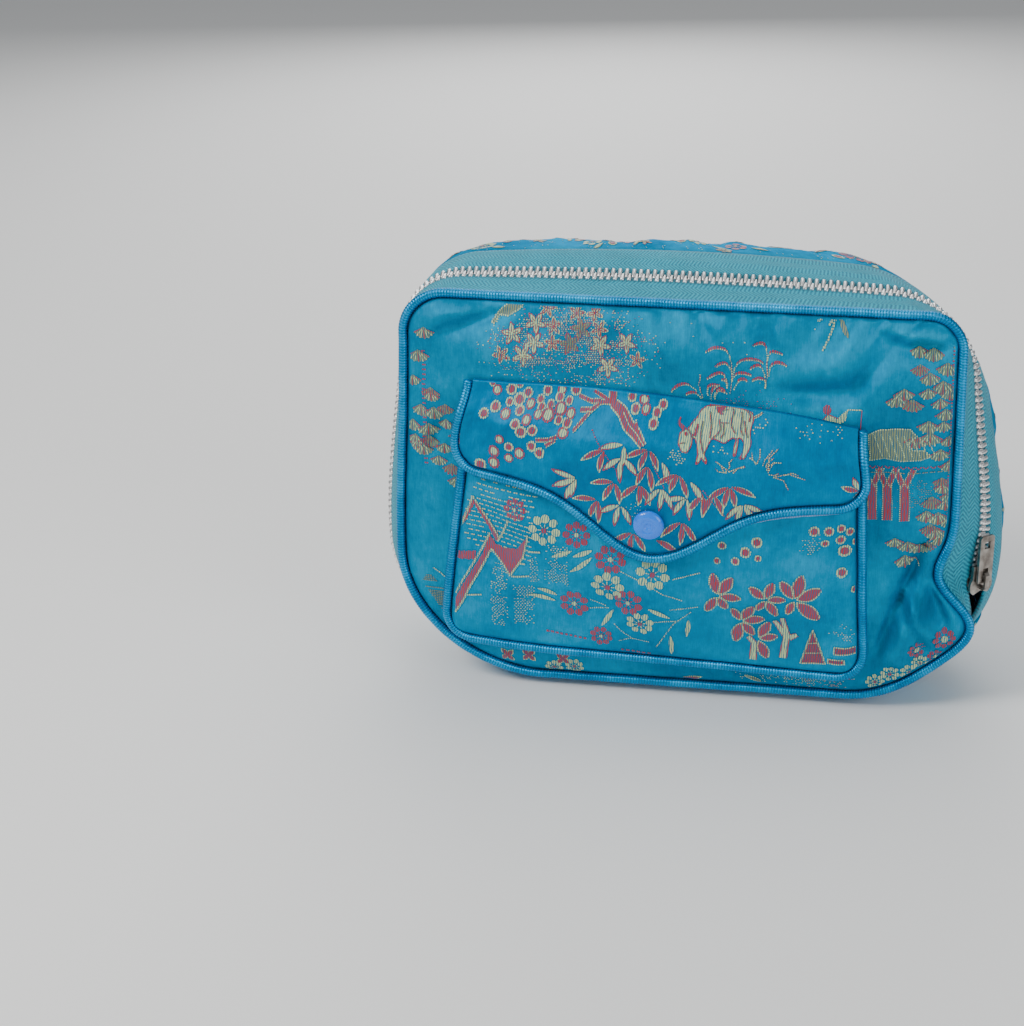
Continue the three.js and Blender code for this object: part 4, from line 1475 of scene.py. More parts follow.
    def hatch(self, thread: Thread, outline: Line, pitch: float = 0.55, width: float = 0.5,
              layer: int = 0, keep: float = 1.0) -> None:
        """Fills an outline with rows of floats, some of them left out.

        Args:
            thread: the thread.
            outline: corners of the outline.
            pitch: distance from one to the next.
            width: width of a float.
            layer: how many threads lie below.
            keep: share of the floats that stay.
        """
        outline = np.asarray(outline, float)
        after = np.roll(outline, -1, 0)
        for row in np.arange(outline[:, 1].min() + pitch / 2, outline[:, 1].max(), pitch):
            crossing = (outline[:, 1] <= row) != (after[:, 1] <= row)
            a, b = outline[crossing], after[crossing]
            hits = np.sort(a[:, 0] + (row - a[:, 1]) / (b[:, 1] - a[:, 1]) * (b[:, 0] - a[:, 0]))
            for low, high in zip(hits[::2], hits[1::2]):
                if high - low < 0.3 or self.rng.random() > keep:
                    continue
                slack = self.rng.uniform(-0.12, 0.12, 2)
                self.strip(thread, [(low + slack[0], row), (high + slack[1], row)], width, layer)

    def outline(self, thread: Thread, line: Line, width: float = 0.55, layer: int = 1) -> None:
        """A closed edge line."""
        self.strip(thread, [*line, line[0]], width, layer)

    def leaf(self, base: Spot, length: float, turn: float, width: float = 2.2, thread: Thread = GOLD,
             edge: Thread | None = CRIMSON, bend: float = 0.12, rim: float = 0.32) -> None:
        """A pointed leaf from its base, turned anticlockwise from the right, with a thin edge.

        Args:
            base: where it starts.
            length: its length.
            turn: its turn in degrees.
            width: its width.
            thread: the thread.
            edge: the thread of its edge, or None.
            bend: how far it curves.
            rim: the edge's width.
        """
        share = np.linspace(0, 1, 8)
        angle = math.radians(turn) + bend * (share - 0.5) * 2
        step = length / 7
        x = base[0] + np.concatenate([[0], np.cumsum(np.cos(angle[1:]) * step)])
        y = base[1] + self.up * np.concatenate([[0], np.cumsum(np.sin(angle[1:]) * step)])
        line = np.stack([x, y], -1)
        if edge:
            self.strip(edge, line, width, 0, taper=True)
        self.strip(thread, line[:-1] if edge else line, width - 2 * rim, 1, taper=True)

    def blade(self, ends: Line, width: float, thread: Thread = GOLD,
              edge: Thread | None = None) -> None:
        """A leaf between two ends.

        Args:
            ends: its two ends.
            width: its width.
            thread: the thread.
            edge: the thread of its edge, or None.
        """
        (u, v), (to_u, to_v) = ends[0], ends[-1]
        turn = math.degrees(math.atan2(self.up * (to_v - v), to_u - u))
        self.leaf((u, v), math.hypot(to_u - u, to_v - v), turn, width, thread, edge, 0.08)

    def teeth(self, thread: Thread, line: Line, size: float = 0.5, pitch: float = 0.78,
              layer: int = 1) -> None:
        """A serrated edge: short floats one after another along a line.

        Args:
            thread: the thread.
            line: the line.
            size: size of a float.
            pitch: distance from one to the next.
            layer: how many threads lie below.
        """
        line = np.asarray(line, float)
        run = run_flat(*line.T)
        at = np.arange(0.2, run[-1], pitch)
        spot = np.stack([np.interp(at, run, line[:, k]) for k in (0, 1)], -1)
        corners = np.array([(-0.62, -0.5), (0.62, -0.5), (0.62, 0.5), (-0.62, 0.5)]) * size
        first = np.arange(len(at))[:, None] * 4
        faces = np.concatenate([first + [0, 1, 2], first + [0, 2, 3]])
        self.add(thread, (spot[:, None] + corners).reshape(-1, 2), faces, layer)

    def bamboo(self, base: Spot, red: bool, turns: Spot, size: float = 8.4) -> None:
        """A group of hanging bamboo leaves of one colour, edged with the other.

        Args:
            base: where the leaves hang.
            red: whether they are crimson.
            turns: the turn of each leaf.
            size: their length.
        """
        for turn in turns:
            spot = self.away(base, math.radians(turn), 0.7)
            bend = -0.3 if turn < -90 else 0.3
            self.leaf(spot, size * self.rng.uniform(0.86, 1.08), turn, 2.2, *two_threads(red), bend * -0.6, 0.27)

    def arc(self, ends: Line, width: float = 1.05) -> None:
        """A drooping plume: a crimson float over a row of gold dashes, bent through its middle place.

        Args:
            ends: its first, middle and last place.
            width: its width.
        """
        share = np.linspace(0, 1, 12)[:, None]
        a, b, c = (np.asarray(spot, float) for spot in ends)
        line = (1 - share) ** 2 * a + 2 * share * (1 - share) * (2 * b - (a + c) / 2) + share**2 * c
        self.strip(CRIMSON, line[3:], width, 1, taper=True)
        below = line + np.array([0.1, -0.42 * self.up])
        self.teeth(GOLD, below, 0.42, 0.72)

    def pine(self, apex: Spot, size: float = 4.2, body: Thread = KHAKI) -> None:
        """A pine fan: needles that spread down from their apex over a scalloped cushion.

        Args:
            apex: where the needles meet.
            size: their length.
            body: the needles' thread.
        """
        angles = np.linspace(-math.pi * 0.83, -math.pi * 0.17, 13)
        radii = np.concatenate([size * (0.9 + 0.1 * np.abs(np.cos(np.arange(13) * math.pi / 2))), [size * 0.05] * 2])
        self.fan(KHAKI, apex, np.concatenate([angles, [0.6, math.pi - 0.6]]), radii)
        ribs = GOLD if body is KHAKI else body
        for k, angle in enumerate(angles[::2]):
            reach = size * self.rng.uniform(0.88, 1.04)
            ends = [self.away(apex, angle, part * reach) for part in (0.22, 1)]
            self.strip(CRIMSON if k % 3 == 0 else ribs, ends, (0.16, 0.44), 1)

    def maple(self, centre: Spot, tips: Line) -> None:
        """A maple spray: crimson leaves from its centre to each tip, with serrated gold edges.

        Args:
            centre: its middle in the plan.
            tips: the end of each leaf.
        """
        for tip in tips:
            length = math.hypot(tip[0] - centre[0], tip[1] - centre[1])
            ahead = (np.array(tip) - centre) / length
            side = np.array([-ahead[1], ahead[0]])
            share = np.linspace(0.1, 1, 9)
            half = 0.21 * length * np.sin(math.pi * np.clip((share - 0.1) / 0.93, 0, 1)) ** 0.75
            line = np.asarray(centre) + np.outer(share * length, ahead)
            self.strip(CRIMSON, line, 2 * np.maximum(half, 0.1), 0)
            for sign in (-1, 1):
                self.teeth(GOLD, line + side * (sign * half)[:, None], 0.46, 0.7)

    def stipple(self, box: Spot, thread: Thread = GOLD, pitch: float = 1.1, size: float = 0.5,
                fill: float = 0.6, fade: bool = True) -> None:
        """Scattered single floats in a region, thinning towards its rim.

        Args:
            box: low and high corner of the region.
            thread: the thread.
            pitch: distance from one to the next.
            size: length of a float.
            fill: share of the places that are filled.
            fade: whether it thins out.
        """
        low_u, low_v, high_u, high_v = box
        rows = np.arange(low_v, high_v, pitch * 0.75)
        columns = np.arange(low_u, high_u, pitch)
        u, v = np.meshgrid(columns, rows)
        u = u + (np.arange(len(rows)) % 2)[:, None] * pitch / 2
        u, v = u.ravel() + self.rng.uniform(-0.12, 0.12, u.size), v.ravel()
        middle = ((low_u + high_u) / 2, (low_v + high_v) / 2)
        reach = np.hypot((u - middle[0]) / (high_u - low_u), (v - middle[1]) / (high_v - low_v)) * 2
        chance = fill * (1 - smooth(0.25, 1.05, reach)) if fade else np.full(u.size, fill)
        chance = chance * (0.7 + 0.5 * ripple(u / 9, v / 9, self.seed + 70))
        kept = self.rng.random(u.size) < chance
        u, v = u[kept], v[kept]
        corners = np.array([(-1, -0.6), (1, -0.6), (1, 0.6), (-1, 0.6)]) * size / 2
        points = np.stack([u, v], -1)[:, None] + corners
        first = np.arange(len(u))[:, None] * 4
        faces = np.concatenate([first + [0, 1, 2], first + [0, 2, 3]])
        self.add(thread, points.reshape(-1, 2), faces, 0)

    def sprig(self, base: Spot, turn: float, length: float = 14, berries: int = 5) -> None:
        """A twig with berries either side.

        Args:
            base: where it starts.
            turn: its turn in degrees.
            length: its length.
            berries: how many berries.
        """
        angle = math.radians(turn)
        tip = self.away(base, angle, length)
        self.strip(GOLD, [base, tip], 1.1)
        self.strip(CRIMSON, [base, tip], 0.6, 1)
        for k in range(berries):
            share = (k + 0.6) / berries
            sign = 1 if k % 2 else -1
            side = angle + sign * 1.2
            at = self.away((mix(base[0], tip[0], share), mix(base[1], tip[1], share)), side, 2.8)
            self.berry(at, k % 3 == 0, 1.6)

    def build(self, name: str, materials: dict[Thread, Material]) -> Piece:
        """Makes the pattern's mesh.

        Args:
            name: the piece's name.
            materials: the finish of each thread.

        Returns:
            One object with all the floats.
        """
        points, faces, kinds, total = [], [], [], 0
        for index, thread in enumerate(Thread):
            if not self.points[thread]:
                continue
            plan = np.stack(self.surface.clip(*np.concatenate(self.points[thread]).T), -1)
            layer = np.concatenate(self.layers[thread])
            lift = self.lift * (1 + 0.55 * layer) + 0.03 * ripple(plan[:, 0] / 3, plan[:, 1] / 3, 90)
            spot = self.surface.at(plan[:, 0], plan[:, 1])
            spot = spot + self.surface.normal(plan[:, 0], plan[:, 1]) * lift[:, None]
            triangles = np.concatenate(self.faces[thread])
            points.append(np.concatenate([spot, plan], -1))
            faces.append(triangles + total)
            kinds.append(np.full(len(triangles), index))
            total += len(plan)
        points, faces = np.concatenate(points), np.concatenate(faces)
        faces = self._face_out(points[:, :3], faces)
        obj = make_mesh(name, points[:, :3], faces, plan=points[:, 3:])
        for thread in Thread:
            obj.data.materials.append(materials[thread])
        obj.data.polygons.foreach_set("material_index", np.concatenate(kinds).astype(np.int32))
        return obj

    def _face_out(self, points: Array, faces: Array) -> Array:
        """Turns each triangle to face away from the cloth.

        Args:
            points: all points.
            faces: the triangles.

        Returns:
            The triangles.
        """
        a, b, c = (points[faces[:, k]] for k in range(3))
        normal = np.cross(b - a, c - a)
        middle = (a + b + c) / 3
        out = self.surface.outward if self.surface.outward is not None else middle - np.array([0, middle[0, 1], 76.0])
        wrong = (normal * out).sum(-1) < 0
        faces[wrong] = faces[wrong][:, ::-1]
        return faces


# Finishes


class Graph:
    """Short calls that build a node tree."""

    def __init__(self, tree: bpy.types.NodeTree) -> None:
        """Works on a tree."""
        self.tree = tree

    def add(self, kind: str, inputs: dict | None = None, **settings: object) -> Node:
        """Adds a node.

        Args:
            kind: the node's type.
            inputs: sockets by name or number, each a value or another node's output.
            settings: the node's own properties.

        Returns:
            The node.
        """
        node = self.tree.nodes.new(kind)
        for key, value in settings.items():
            setattr(node, key, value)
        for key, value in (inputs or {}).items():
            if isinstance(value, Socket):
                self.tree.links.new(value, node.inputs[key])
            else:
                node.inputs[key].default_value = value
        return node

    def link(self, value: Socket, node: Node, name: str) -> None:
        """Leads a value into a node's input."""
        self.tree.links.new(value, node.inputs[name])

    def plan(self) -> Socket:
        """The place on a cloth or cord, in millimetres of its plan."""
        return self.add("ShaderNodeUVMap", uv_map="plan").outputs[0]

    def solid(self) -> Socket:
        """The place in the object, in millimetres."""
        return self.stretch(self.add("ShaderNodeTexCoord").outputs["Object"], (1000, 1000, 1000))

    def group(self, tree: bpy.types.NodeTree, inputs: dict[str, object]) -> dict[str, Socket]:
        """Places a node group with its own values and gives its outputs by name."""
        return dict(self.add("ShaderNodeGroup", inputs, node_tree=tree).outputs.items())

    def over(self, vector: Socket, size: Socket) -> Socket:
        """A vector divided by a number."""
        inverse = self.math("DIVIDE", 1.0, size)
        return self.add("ShaderNodeVectorMath", {0: vector, "Scale": inverse}, operation="SCALE").outputs[0]

    def math(self, operation: str, a: object, b: object = 0.0) -> Socket:
        """The result of a sum on two numbers."""
        return self.add("ShaderNodeMath", {0: a, 1: b}, operation=operation).outputs[0]

    def noise(self, vector: object, scale: float, detail: float = 3, rough: float = 0.5) -> Socket:
        """Noise of about 0 to 1."""
        inputs = {"Vector": vector, "Scale": scale, "Detail": detail, "Roughness": rough}
        return self.add("ShaderNodeTexNoise", inputs).outputs[0]

    def stretch(self, vector: object, scale: Spot) -> Socket:
        """A vector times a scale along each axis."""
        return self.add("ShaderNodeVectorMath", {0: vector, 1: tuple(scale)}, operation="MULTIPLY").outputs[0]

    def blend(self, share: object, a: object, b: object, kind: str = "MIX") -> Socket:
        """A blend of two colours."""
        node = self.add("ShaderNodeMix", {"Factor": share, 6: a, 7: b}, data_type="RGBA", blend_type=kind)
        return node.outputs[2]

    def ramp(self, value: object, low: float, high: float, to_low: float = 0, to_high: float = 1) -> Socket:
        """Maps a range of numbers onto another."""
        inputs = {0: value, 1: low, 2: high, 3: to_low, 4: to_high}
        return self.add("ShaderNodeMapRange", inputs).outputs[0]


def node_group(name: str, inputs: dict[str, float | None], outputs: Sequence[str],
               fill: Callable[[Graph, Node], dict[str, Socket]]) -> bpy.types.NodeTree:
    """Makes a shader node group.

    Args:
        name: the group's name.
        inputs: input names, None for a vector and a number for a float's usual value.
        outputs: names of the float outputs.
        fill: adds the nodes and returns the outputs' sockets.

    Returns:
        The group's tree.
    """
    tree = bpy.data.node_groups.new(name, "ShaderNodeTree")
    for key, value in inputs.items():
        kind = "NodeSocketVector" if value is None else "NodeSocketFloat"
        socket = tree.interface.new_socket(name=key, in_out="INPUT", socket_type=kind)
        if value is not None:
            socket.default_value = value
    for key in outputs:
        tree.interface.new_socket(name=key, in_out="OUTPUT", socket_type="NodeSocketFloat")
    graph = Graph(tree)
    entry = tree.nodes.new("NodeGroupInput")
    leave = tree.nodes.new("NodeGroupOutput")
    for key, socket in fill(graph, entry).items():
        tree.links.new(socket, leave.inputs[key])
    return tree


class Effects:
    """Node groups that more than one finish uses."""

    def __init__(self) -> None:
        """Builds the groups once."""
        self.satin = node_group("satin_weave", {"Plan": None, "Pitch": 0.4}, ("Height", "Slub"), self._satin)
        self.wear = node_group("wear", {"Place": None, "Size": 20.0}, ("Mask", "Fine"), self._wear)
        self.floats = node_group("thread_floats", {"Plan": None, "Pitch": 0.8}, ("Height",), self._floats)

    @staticmethod
    def _satin(graph: Graph, entry: Node) -> dict[str, Socket]:
        """Long upright warp floats, bound at staggered points, with thicker threads here and there.

        Args:
            graph: the group's graph.
            entry: the group's inputs.

        Returns:
            Each output by name.
        """
        scaled = graph.over(entry.outputs["Plan"], entry.outputs["Pitch"])
        threads = graph.noise(graph.stretch(scaled, (1.0, 0.09, 0)), 1.0, 2, 0.6)
        binding = graph.noise(graph.stretch(scaled, (0.9, 0.45, 0)), 1.3, 2, 0.6)
        slub = graph.noise(graph.stretch(scaled, (0.16, 0.1, 0)), 1.0, 3, 0.6)
        height = graph.math("ADD", graph.math("MULTIPLY", threads, 0.6), graph.math("MULTIPLY", binding, 0.4))
        return {"Height": height, "Slub": slub}

    @staticmethod
    def _wear(graph: Graph, entry: Node) -> dict[str, Socket]:
        """Broad and fine unevenness.

        Args:
            graph: the group's graph.
            entry: the group's inputs.

        Returns:
            Each output by name.
        """
        scaled = graph.over(entry.outputs["Place"], entry.outputs["Size"])
        return {"Mask": graph.noise(scaled, 1.0, 4, 0.55), "Fine": graph.noise(scaled, 14.0, 3, 0.6)}

    @staticmethod
    def _floats(graph: Graph, entry: Node) -> dict[str, Socket]:
        """Weft floats that upright warp threads bind, which leaves thin gaps.

        Args:
            graph: the group's graph.
            entry: the group's inputs.

        Returns:
            Each output by name.
        """
        inverse = graph.math("DIVIDE", math.tau, entry.outputs["Pitch"])
        split = graph.add("ShaderNodeSeparateXYZ", {0: entry.outputs["Plan"]})
        sway = graph.noise(graph.stretch(entry.outputs["Plan"], (0.5, 0.25, 0)), 1.0, 2, 0.5)
        across = graph.math("ADD", graph.math("MULTIPLY", split.outputs[0], inverse), graph.math("MULTIPLY", sway, 9.0))
        ridge = graph.math("SINE", across)
        shade = graph.noise(graph.stretch(entry.outputs["Plan"], (2.2, 0.5, 0)), 1.0, 3, 0.6)
        height = graph.math("ADD", graph.math("MULTIPLY", ridge, 0.3), shade)
        return {"Height": height}


@dataclass(frozen=True)
class Finish:
    """What every finish has.

    Attributes:
        name: the material's name.
        roughness: its usual roughness.
        bump: how strongly its relief shows.
    """

    name: str
    roughness: float
    bump: float

    def begin(self, constants: dict[str, object]) -> tuple[Material, Graph, Node]:
        """Makes an empty material with its shader.

        Args:
            constants: values of the shader's own sockets.

        Returns:
            The material, its graph and its shader.
        """
        material = bpy.data.materials.new(self.name)
        material.use_nodes = True
        material.node_tree.nodes.clear()
        graph = Graph(material.node_tree)
        shader = graph.add("ShaderNodeBsdfPrincipled", {"Roughness": self.roughness, **constants})
        graph.add("ShaderNodeOutputMaterial", {"Surface": shader.outputs[0]})
        return material, graph, shader

    def cover(self, graph: Graph, shader: Node, colour: Socket, height: Socket, depth: float) -> None:
        """Feeds the colour and the relief.

        Args:
            graph: the material's graph.
            shader: its shader.
            colour: the colour over the surface.
            height: the relief's height, 0 to 1.
            depth: the relief's depth, in millimetres.
        """
        bump = graph.add("ShaderNodeBump", {"Strength": self.bump, "Distance": depth * MM, "Height": height})
        graph.link(colour, shader, "Base Color")
        graph.link(bump.outputs[0], shader, "Normal")

    def roughen(self, graph: Graph, shader: Node, fine: Socket, below: float, above: float) -> None:
        """Varies the roughness.

        Args:
            graph: the material's graph.
            shader: its shader.
            fine: the unevenness that it follows.
            below: how much smoother it gets.
            above: how much rougher it gets.
        """
        rough = graph.ramp(fine, 0.2, 0.8, self.roughness - below, self.roughness + above)
        graph.link(rough, shader, "Roughness")


@dataclass(frozen=True)
class SatinFinish(Finish):
    """Turquoise satin: fine upright threads with a soft sheen."""

    deep: Colour = (0, 121, 163)
    bright: Colour = (0, 171, 209)
    pitch: float = 0.42
    patch: float = 30

    def build(self, effects: Effects) -> Material:
        """Makes the material.

        Args:
            effects: the shared node groups.

        Returns:
            The material.
        """
        material, graph, shader = self.begin({
            "Metallic": 0.97, "Specular Tint": linear(0, 190, 245), "Sheen Weight": 0.02, "Sheen Roughness": 0.4,
            "Sheen Tint": linear(0, 190, 235),
        })
        plan = graph.plan()
        weave = graph.group(effects.satin, {"Plan": plan, "Pitch": self.pitch})
        wear = graph.group(effects.wear, {"Place": plan, "Size": self.patch})
        slub = graph.math("MULTIPLY", weave["Slub"], 0.25)
        tone = graph.math("ADD", graph.math("MULTIPLY", wear["Mask"], 0.75), slub)
        colour = graph.blend(graph.ramp(tone, 0.32, 0.68), linear(*self.deep), linear(*self.bright))
        fine = graph.ramp(weave["Height"], 0.3, 0.7, 0.86, 1.12)
        self.roughen(graph, shader, wear["Fine"], 0.05, 0.07)
        self.cover(graph, shader, graph.blend(1.0, colour, fine, "MULTIPLY"), weave["Height"], 0.12)
        return material


@dataclass(frozen=True)
class CordFinish(Finish):
    """Azure satin wrapped round the piping, with painted shade in the grooves between its ribs and painted light on
    their crests.
    """

    colour: Colour = (0, 164, 220)
    dark: Colour = (0, 125, 181)
    rib: float = 1.0
    patch: float = 9

    def build(self, effects: Effects) -> Material:
        """Makes the material.

        Args:
            effects: the shared node groups.

        Returns:
            The material.
        """
        material, graph, shader = self.begin({"Metallic": 0.85})
        wear = graph.group(effects.wear, {"Place": graph.solid(), "Size": self.patch})
        colour = graph.blend(graph.ramp(wear["Mask"], 0.3, 0.7), linear(*self.dark), linear(*self.colour))
        run = graph.add("ShaderNodeSeparateXYZ", {0: graph.plan()}).outputs[0]
        ridge = graph.math("COSINE", graph.math("MULTIPLY", run, math.tau / self.rib))
        uneven = graph.math("ADD", graph.math("MULTIPLY", ridge, 0.3), wear["Fine"])
        # painted shade and light: the colour darkens in the grooves between the ribs and brightens on their crests,
        # with fine unevenness
        groove = graph.ramp(uneven, 0.2, 0.8, 0.68, 1.16)
        self.roughen(graph, shader, wear["Fine"], 0.06, 0.08)
        self.cover(graph, shader, graph.blend(1.0, colour, groove, "MULTIPLY"), uneven, 0.2)
        return material


@dataclass(frozen=True)
class TapeFinish(Finish):
    """Pale zip tape, woven in a herringbone of slanting ribs, with painted shade beside the teeth."""

    colour: Colour = (0, 170, 194)
    dark: Colour = (0, 108, 136)
    rib: float = 1.15
    stripe: float = 2.6
    middle: float = -15.9
    patch: float = 10

    def build(self, effects: Effects) -> Material:
        """Makes the material.

        Args:
            effects: the shared node groups.

        Returns:
            The material.
        """
        material, graph, shader = self.begin({"Sheen Weight": 0.1})
        plan = graph.plan()
        run, depth = graph.add("ShaderNodeSeparateXYZ", {0: plan}).outputs[:2]
        slant = graph.math("ADD", run, graph.math("MULTIPLY", graph.math("PINGPONG", depth, self.stripe), 0.8))
        ridge = graph.math("SINE", graph.math("MULTIPLY", slant, math.tau / self.rib))
        wear = graph.group(effects.wear, {"Place": plan, "Size": self.patch})
        uneven = graph.math("ADD", graph.math("MULTIPLY", ridge, 0.3), wear["Fine"])
        colour = graph.blend(graph.ramp(uneven, 0.15, 0.85), linear(*self.dark), linear(*self.colour))
        # painted shade: the tape's colour is darkened near the chain's middle, where the teeth shade it
        beside = graph.math("ABSOLUTE", graph.math("SUBTRACT", depth, self.middle))
        broad = graph.ramp(wear["Mask"], 0.3, 0.7, 0.88, 1.08)
        broad = graph.math("MULTIPLY", broad, graph.ramp(beside, 2.2, 3.5, 0.4, 1.0))
        self.cover(graph, shader, graph.blend(1.0, colour, broad, "MULTIPLY"), uneven, 0.3)
        return material


@dataclass(frozen=True)
class ThreadFinish(Finish):
    """Glossy weft thread of the pattern, with the satin showing between its floats."""

    colour: Colour = (196, 212, 146)
    dark: Colour = (16, 118, 140)

    def build(self, effects: Effects) -> Material:
        """Makes the material.

        Args:
            effects: the shared node groups.

        Returns:
            The material.
        """
        material, graph, shader = self.begin({"Sheen Weight": 0.2})
        height = graph.group(effects.floats, {"Plan": graph.plan()})["Height"]
        colour = graph.blend(graph.ramp(height, 0.26, 0.62), linear(*self.dark), linear(*self.colour))
        self.cover(graph, shader, colour, height, 0.12)
        return material


@dataclass(frozen=True)
class HardFinish(Finish):
    """Plated metal or moulded plastic with fine scratches and dulled places."""

    colour: Colour = (215, 216, 214)
    dull: Colour = (150, 146, 140)
    patch: float = 4
    mask: tuple[float, float] = (0.35, 0.65)
    relief: float = 0.05
    spread: tuple[float, float] = (0.07, 0.14)
    metallic: float = 1
    coat: float = 0

    def build(self, effects: Effects) -> Material:
        """Makes the material.

        Args:
            effects: the shared node groups.

        Returns:
            The material.
        """
        material, graph, shader = self.begin({"Metallic": self.metallic, "Coat Weight": self.coat})
        wear = graph.group(effects.wear, {"Place": graph.solid(), "Size": self.patch})
        colour = graph.blend(graph.ramp(wear["Mask"], *self.mask), linear(*self.dull), linear(*self.colour))
        self.roughen(graph, shader, wear["Fine"], *self.spread)
        self.cover(graph, shader, colour, wear["Fine"], self.relief)
        return material


@dataclass
class Wardrobe:
    """All finishes of the purse, built once."""

    satin: SatinFinish = SatinFinish("satin_panel", 0.7, 0.35)
    # painted shade: the flap gets a darker copy of the panel satin, standing in for its sheen falling off
    flap_satin: SatinFinish = SatinFinish("satin_flap", 0.68, 0.35, (0, 109, 159), (0, 155, 201))
    # painted light: the pocket gets a brighter copy of the panel satin, standing in for the sheen on it
    pocket_satin: SatinFinish = SatinFinish("satin_pocket", 0.72, 0.35, (0, 132, 176), (0, 177, 216))
    cord: CordFinish = CordFinish("cord_satin", 0.42, 0.4)
    tape: TapeFinish = TapeFinish("tape_weave", 0.75, 0.7)
    teeth: HardFinish = HardFinish("zip_metal", 0.3, 0.3, (250, 250, 250), (222, 223, 223))
    pull: HardFinish = HardFinish("pull_metal", 0.36, 0.4, (176, 170, 162), (120, 112, 106))
    cap: HardFinish = HardFinish("cap_plastic", 0.22, 0.25, (0, 128, 255), (0, 115.2, 237.15), patch=3,
                                 mask=(0.3, 0.7), relief=0.03, spread=(0.05, 0.12), metallic=0, coat=0.3)
    gold: ThreadFinish = ThreadFinish("thread_gold", 0.5, 0.5)
    crimson: ThreadFinish = ThreadFinish("thread_crimson", 0.5, 0.5, (166, 28, 42), (20, 80, 122))
    lining: ThreadFinish = ThreadFinish("lining_weave", 0.6, 0.4, (126, 168, 214), (84, 132, 186))
    khaki: ThreadFinish = ThreadFinish("thread_khaki", 0.55, 0.5, (122, 134, 92), (6, 92, 120))

    def dress(self) -> dict[str, Material]:
        """Builds each finish and returns them by field name."""
        effects = Effects()
        return {item.name: getattr(self, item.name).build(effects) for item in fields(self)}


# Pieces


def settle(obj: Piece, slot: str, *nodes: str, body: str = "purse") -> Piece:
    """Attaches a piece to the moving part that it rides on and hides the solids that it stands for.

    Args:
        obj: the piece.
        slot: not used.
        nodes: the solids, if any.
        body: the moving part.

    Returns:
        The piece.
    """
    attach(obj, body)
    if nodes:
        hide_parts(*nodes)
    return obj


@dataclass
class Maker:
    """What every sub-assembly shares: the form and the dressed finishes."""

    form: PurseForm
    looks: dict[str, Material]

    def threads(self) -> dict[Thread, Material]:
        """The pattern's three thread finishes."""
        return {GOLD: self.looks["gold"], CRIMSON: self.looks["crimson"], KHAKI: self.looks["khaki"]}

    def lay(self, obj: Piece, look: str, slot: str, *nodes: str, body: str = "purse") -> Piece:
        """Gives a piece its finish and settles it."""
        obj.data.materials.append(self.looks[look])
        return settle(obj, slot, *nodes, body=body)

    def pipe(self, name: str, line: Array, node: str, closed: bool = False) -> Piece:
        """Sweeps piping along a line and dresses it."""
        return self.lay(Piping(self.form.piping_radius).build(name, line, closed), "cord", "cord_satin", node)


@dataclass
class Panels(Maker):
    """The bowed front and back panels with their woven patterns and seam piping."""

    columns: int = 176
    row_gap: float = 1.25
    wall: float = 2
    allowance: float = 0.8

    def build(self) -> list[Piece]:
        """Builds and dresses the panels.

        Returns:
            The pieces.
        """
        front, back = FrontSurface(self.form, PocketForm(self.form)), BackSurface(self.form)
        front.simulate()
        made = [
            self._panel("front_cloth", front, self.form.front_edge, 1.0, "front_panel"),
            self._panel("back_cloth", back, self.form.back_edge, -1.0, "back_panel"),
        ]
        cords = (("front_cord", self.form.front_y, "front_piping"), ("back_cord", self.form.back_y, "back_piping"))
        for name, y, node in cords:
            place = np.linspace(0, 8, 1600, endpoint=False)
            x, z, _, _ = self.form.ring(place, np.full_like(place, y))
            line = np.stack([x, np.full_like(x, y), z], -1)
            made.append(self.pipe(name, line, node, True))
        made.append(settle(FrontPattern(front).draw().build("front_pattern", self.threads()), "satin"))
        made.append(settle(BackPattern(back).draw().build("back_pattern", self.threads()), "satin"))
        return made

    def _panel(self, name: str, surface: Surface, edge: Edge, inward: float, node: str) -> Piece:
        """One panel: rows from its bottom to its top between its side edges.

        Args:
            name: the piece's name.
            surface: the form that it follows.
            edge: the table of the panel's edge.
            inward: 1 or -1, the way its wall goes.
            node: the solid that it stands for.

        Returns:
            The piece.
        """
        angle = np.linspace(-math.pi, math.pi, 4000)
        reach = np.interp(angle, edge[0], edge[1], period=math.tau)
        ex, ez = reach * np.cos(angle), self.form.middle_z + reach * np.sin(angle)
        low, high = ez.min() + 0.02, ez.max() - 0.02
        rows = int((high - low) / self.row_gap)
        level = low + (high - low) * crowded(rows, 0.11)
        right, left = ex > 0, ex < 0
        order_r, order_l = np.argsort(ez[right]), np.argsort(ez[left])
        xr = np.interp(level, ez[right][order_r], ex[right][order_r])
        xl = np.interp(level, ez[left][order_l], ex[left][order_l])
        u = xl[:, None] + (xr - xl)[:, None] * crowded(self.columns, 0.05)
        v = np.repeat(level[:, None], self.columns, 1)
        face = surface.at(u, v)
        wall = np.zeros_like(face)
        wall[..., 1] = inward * self.wall
        radial = unit(np.stack([u, v - self.form.middle_z], -1))
        flare = self.allowance * np.exp(-np.maximum(self.form.inside(edge, u, v), 0) / 0.5)
        wall[..., [0, 2]] = radial * flare[..., None]
        obj = cloth_sheet(name, face, wall, np.stack([u, v], -1))
        return self.lay(obj, "satin", "satin", node)


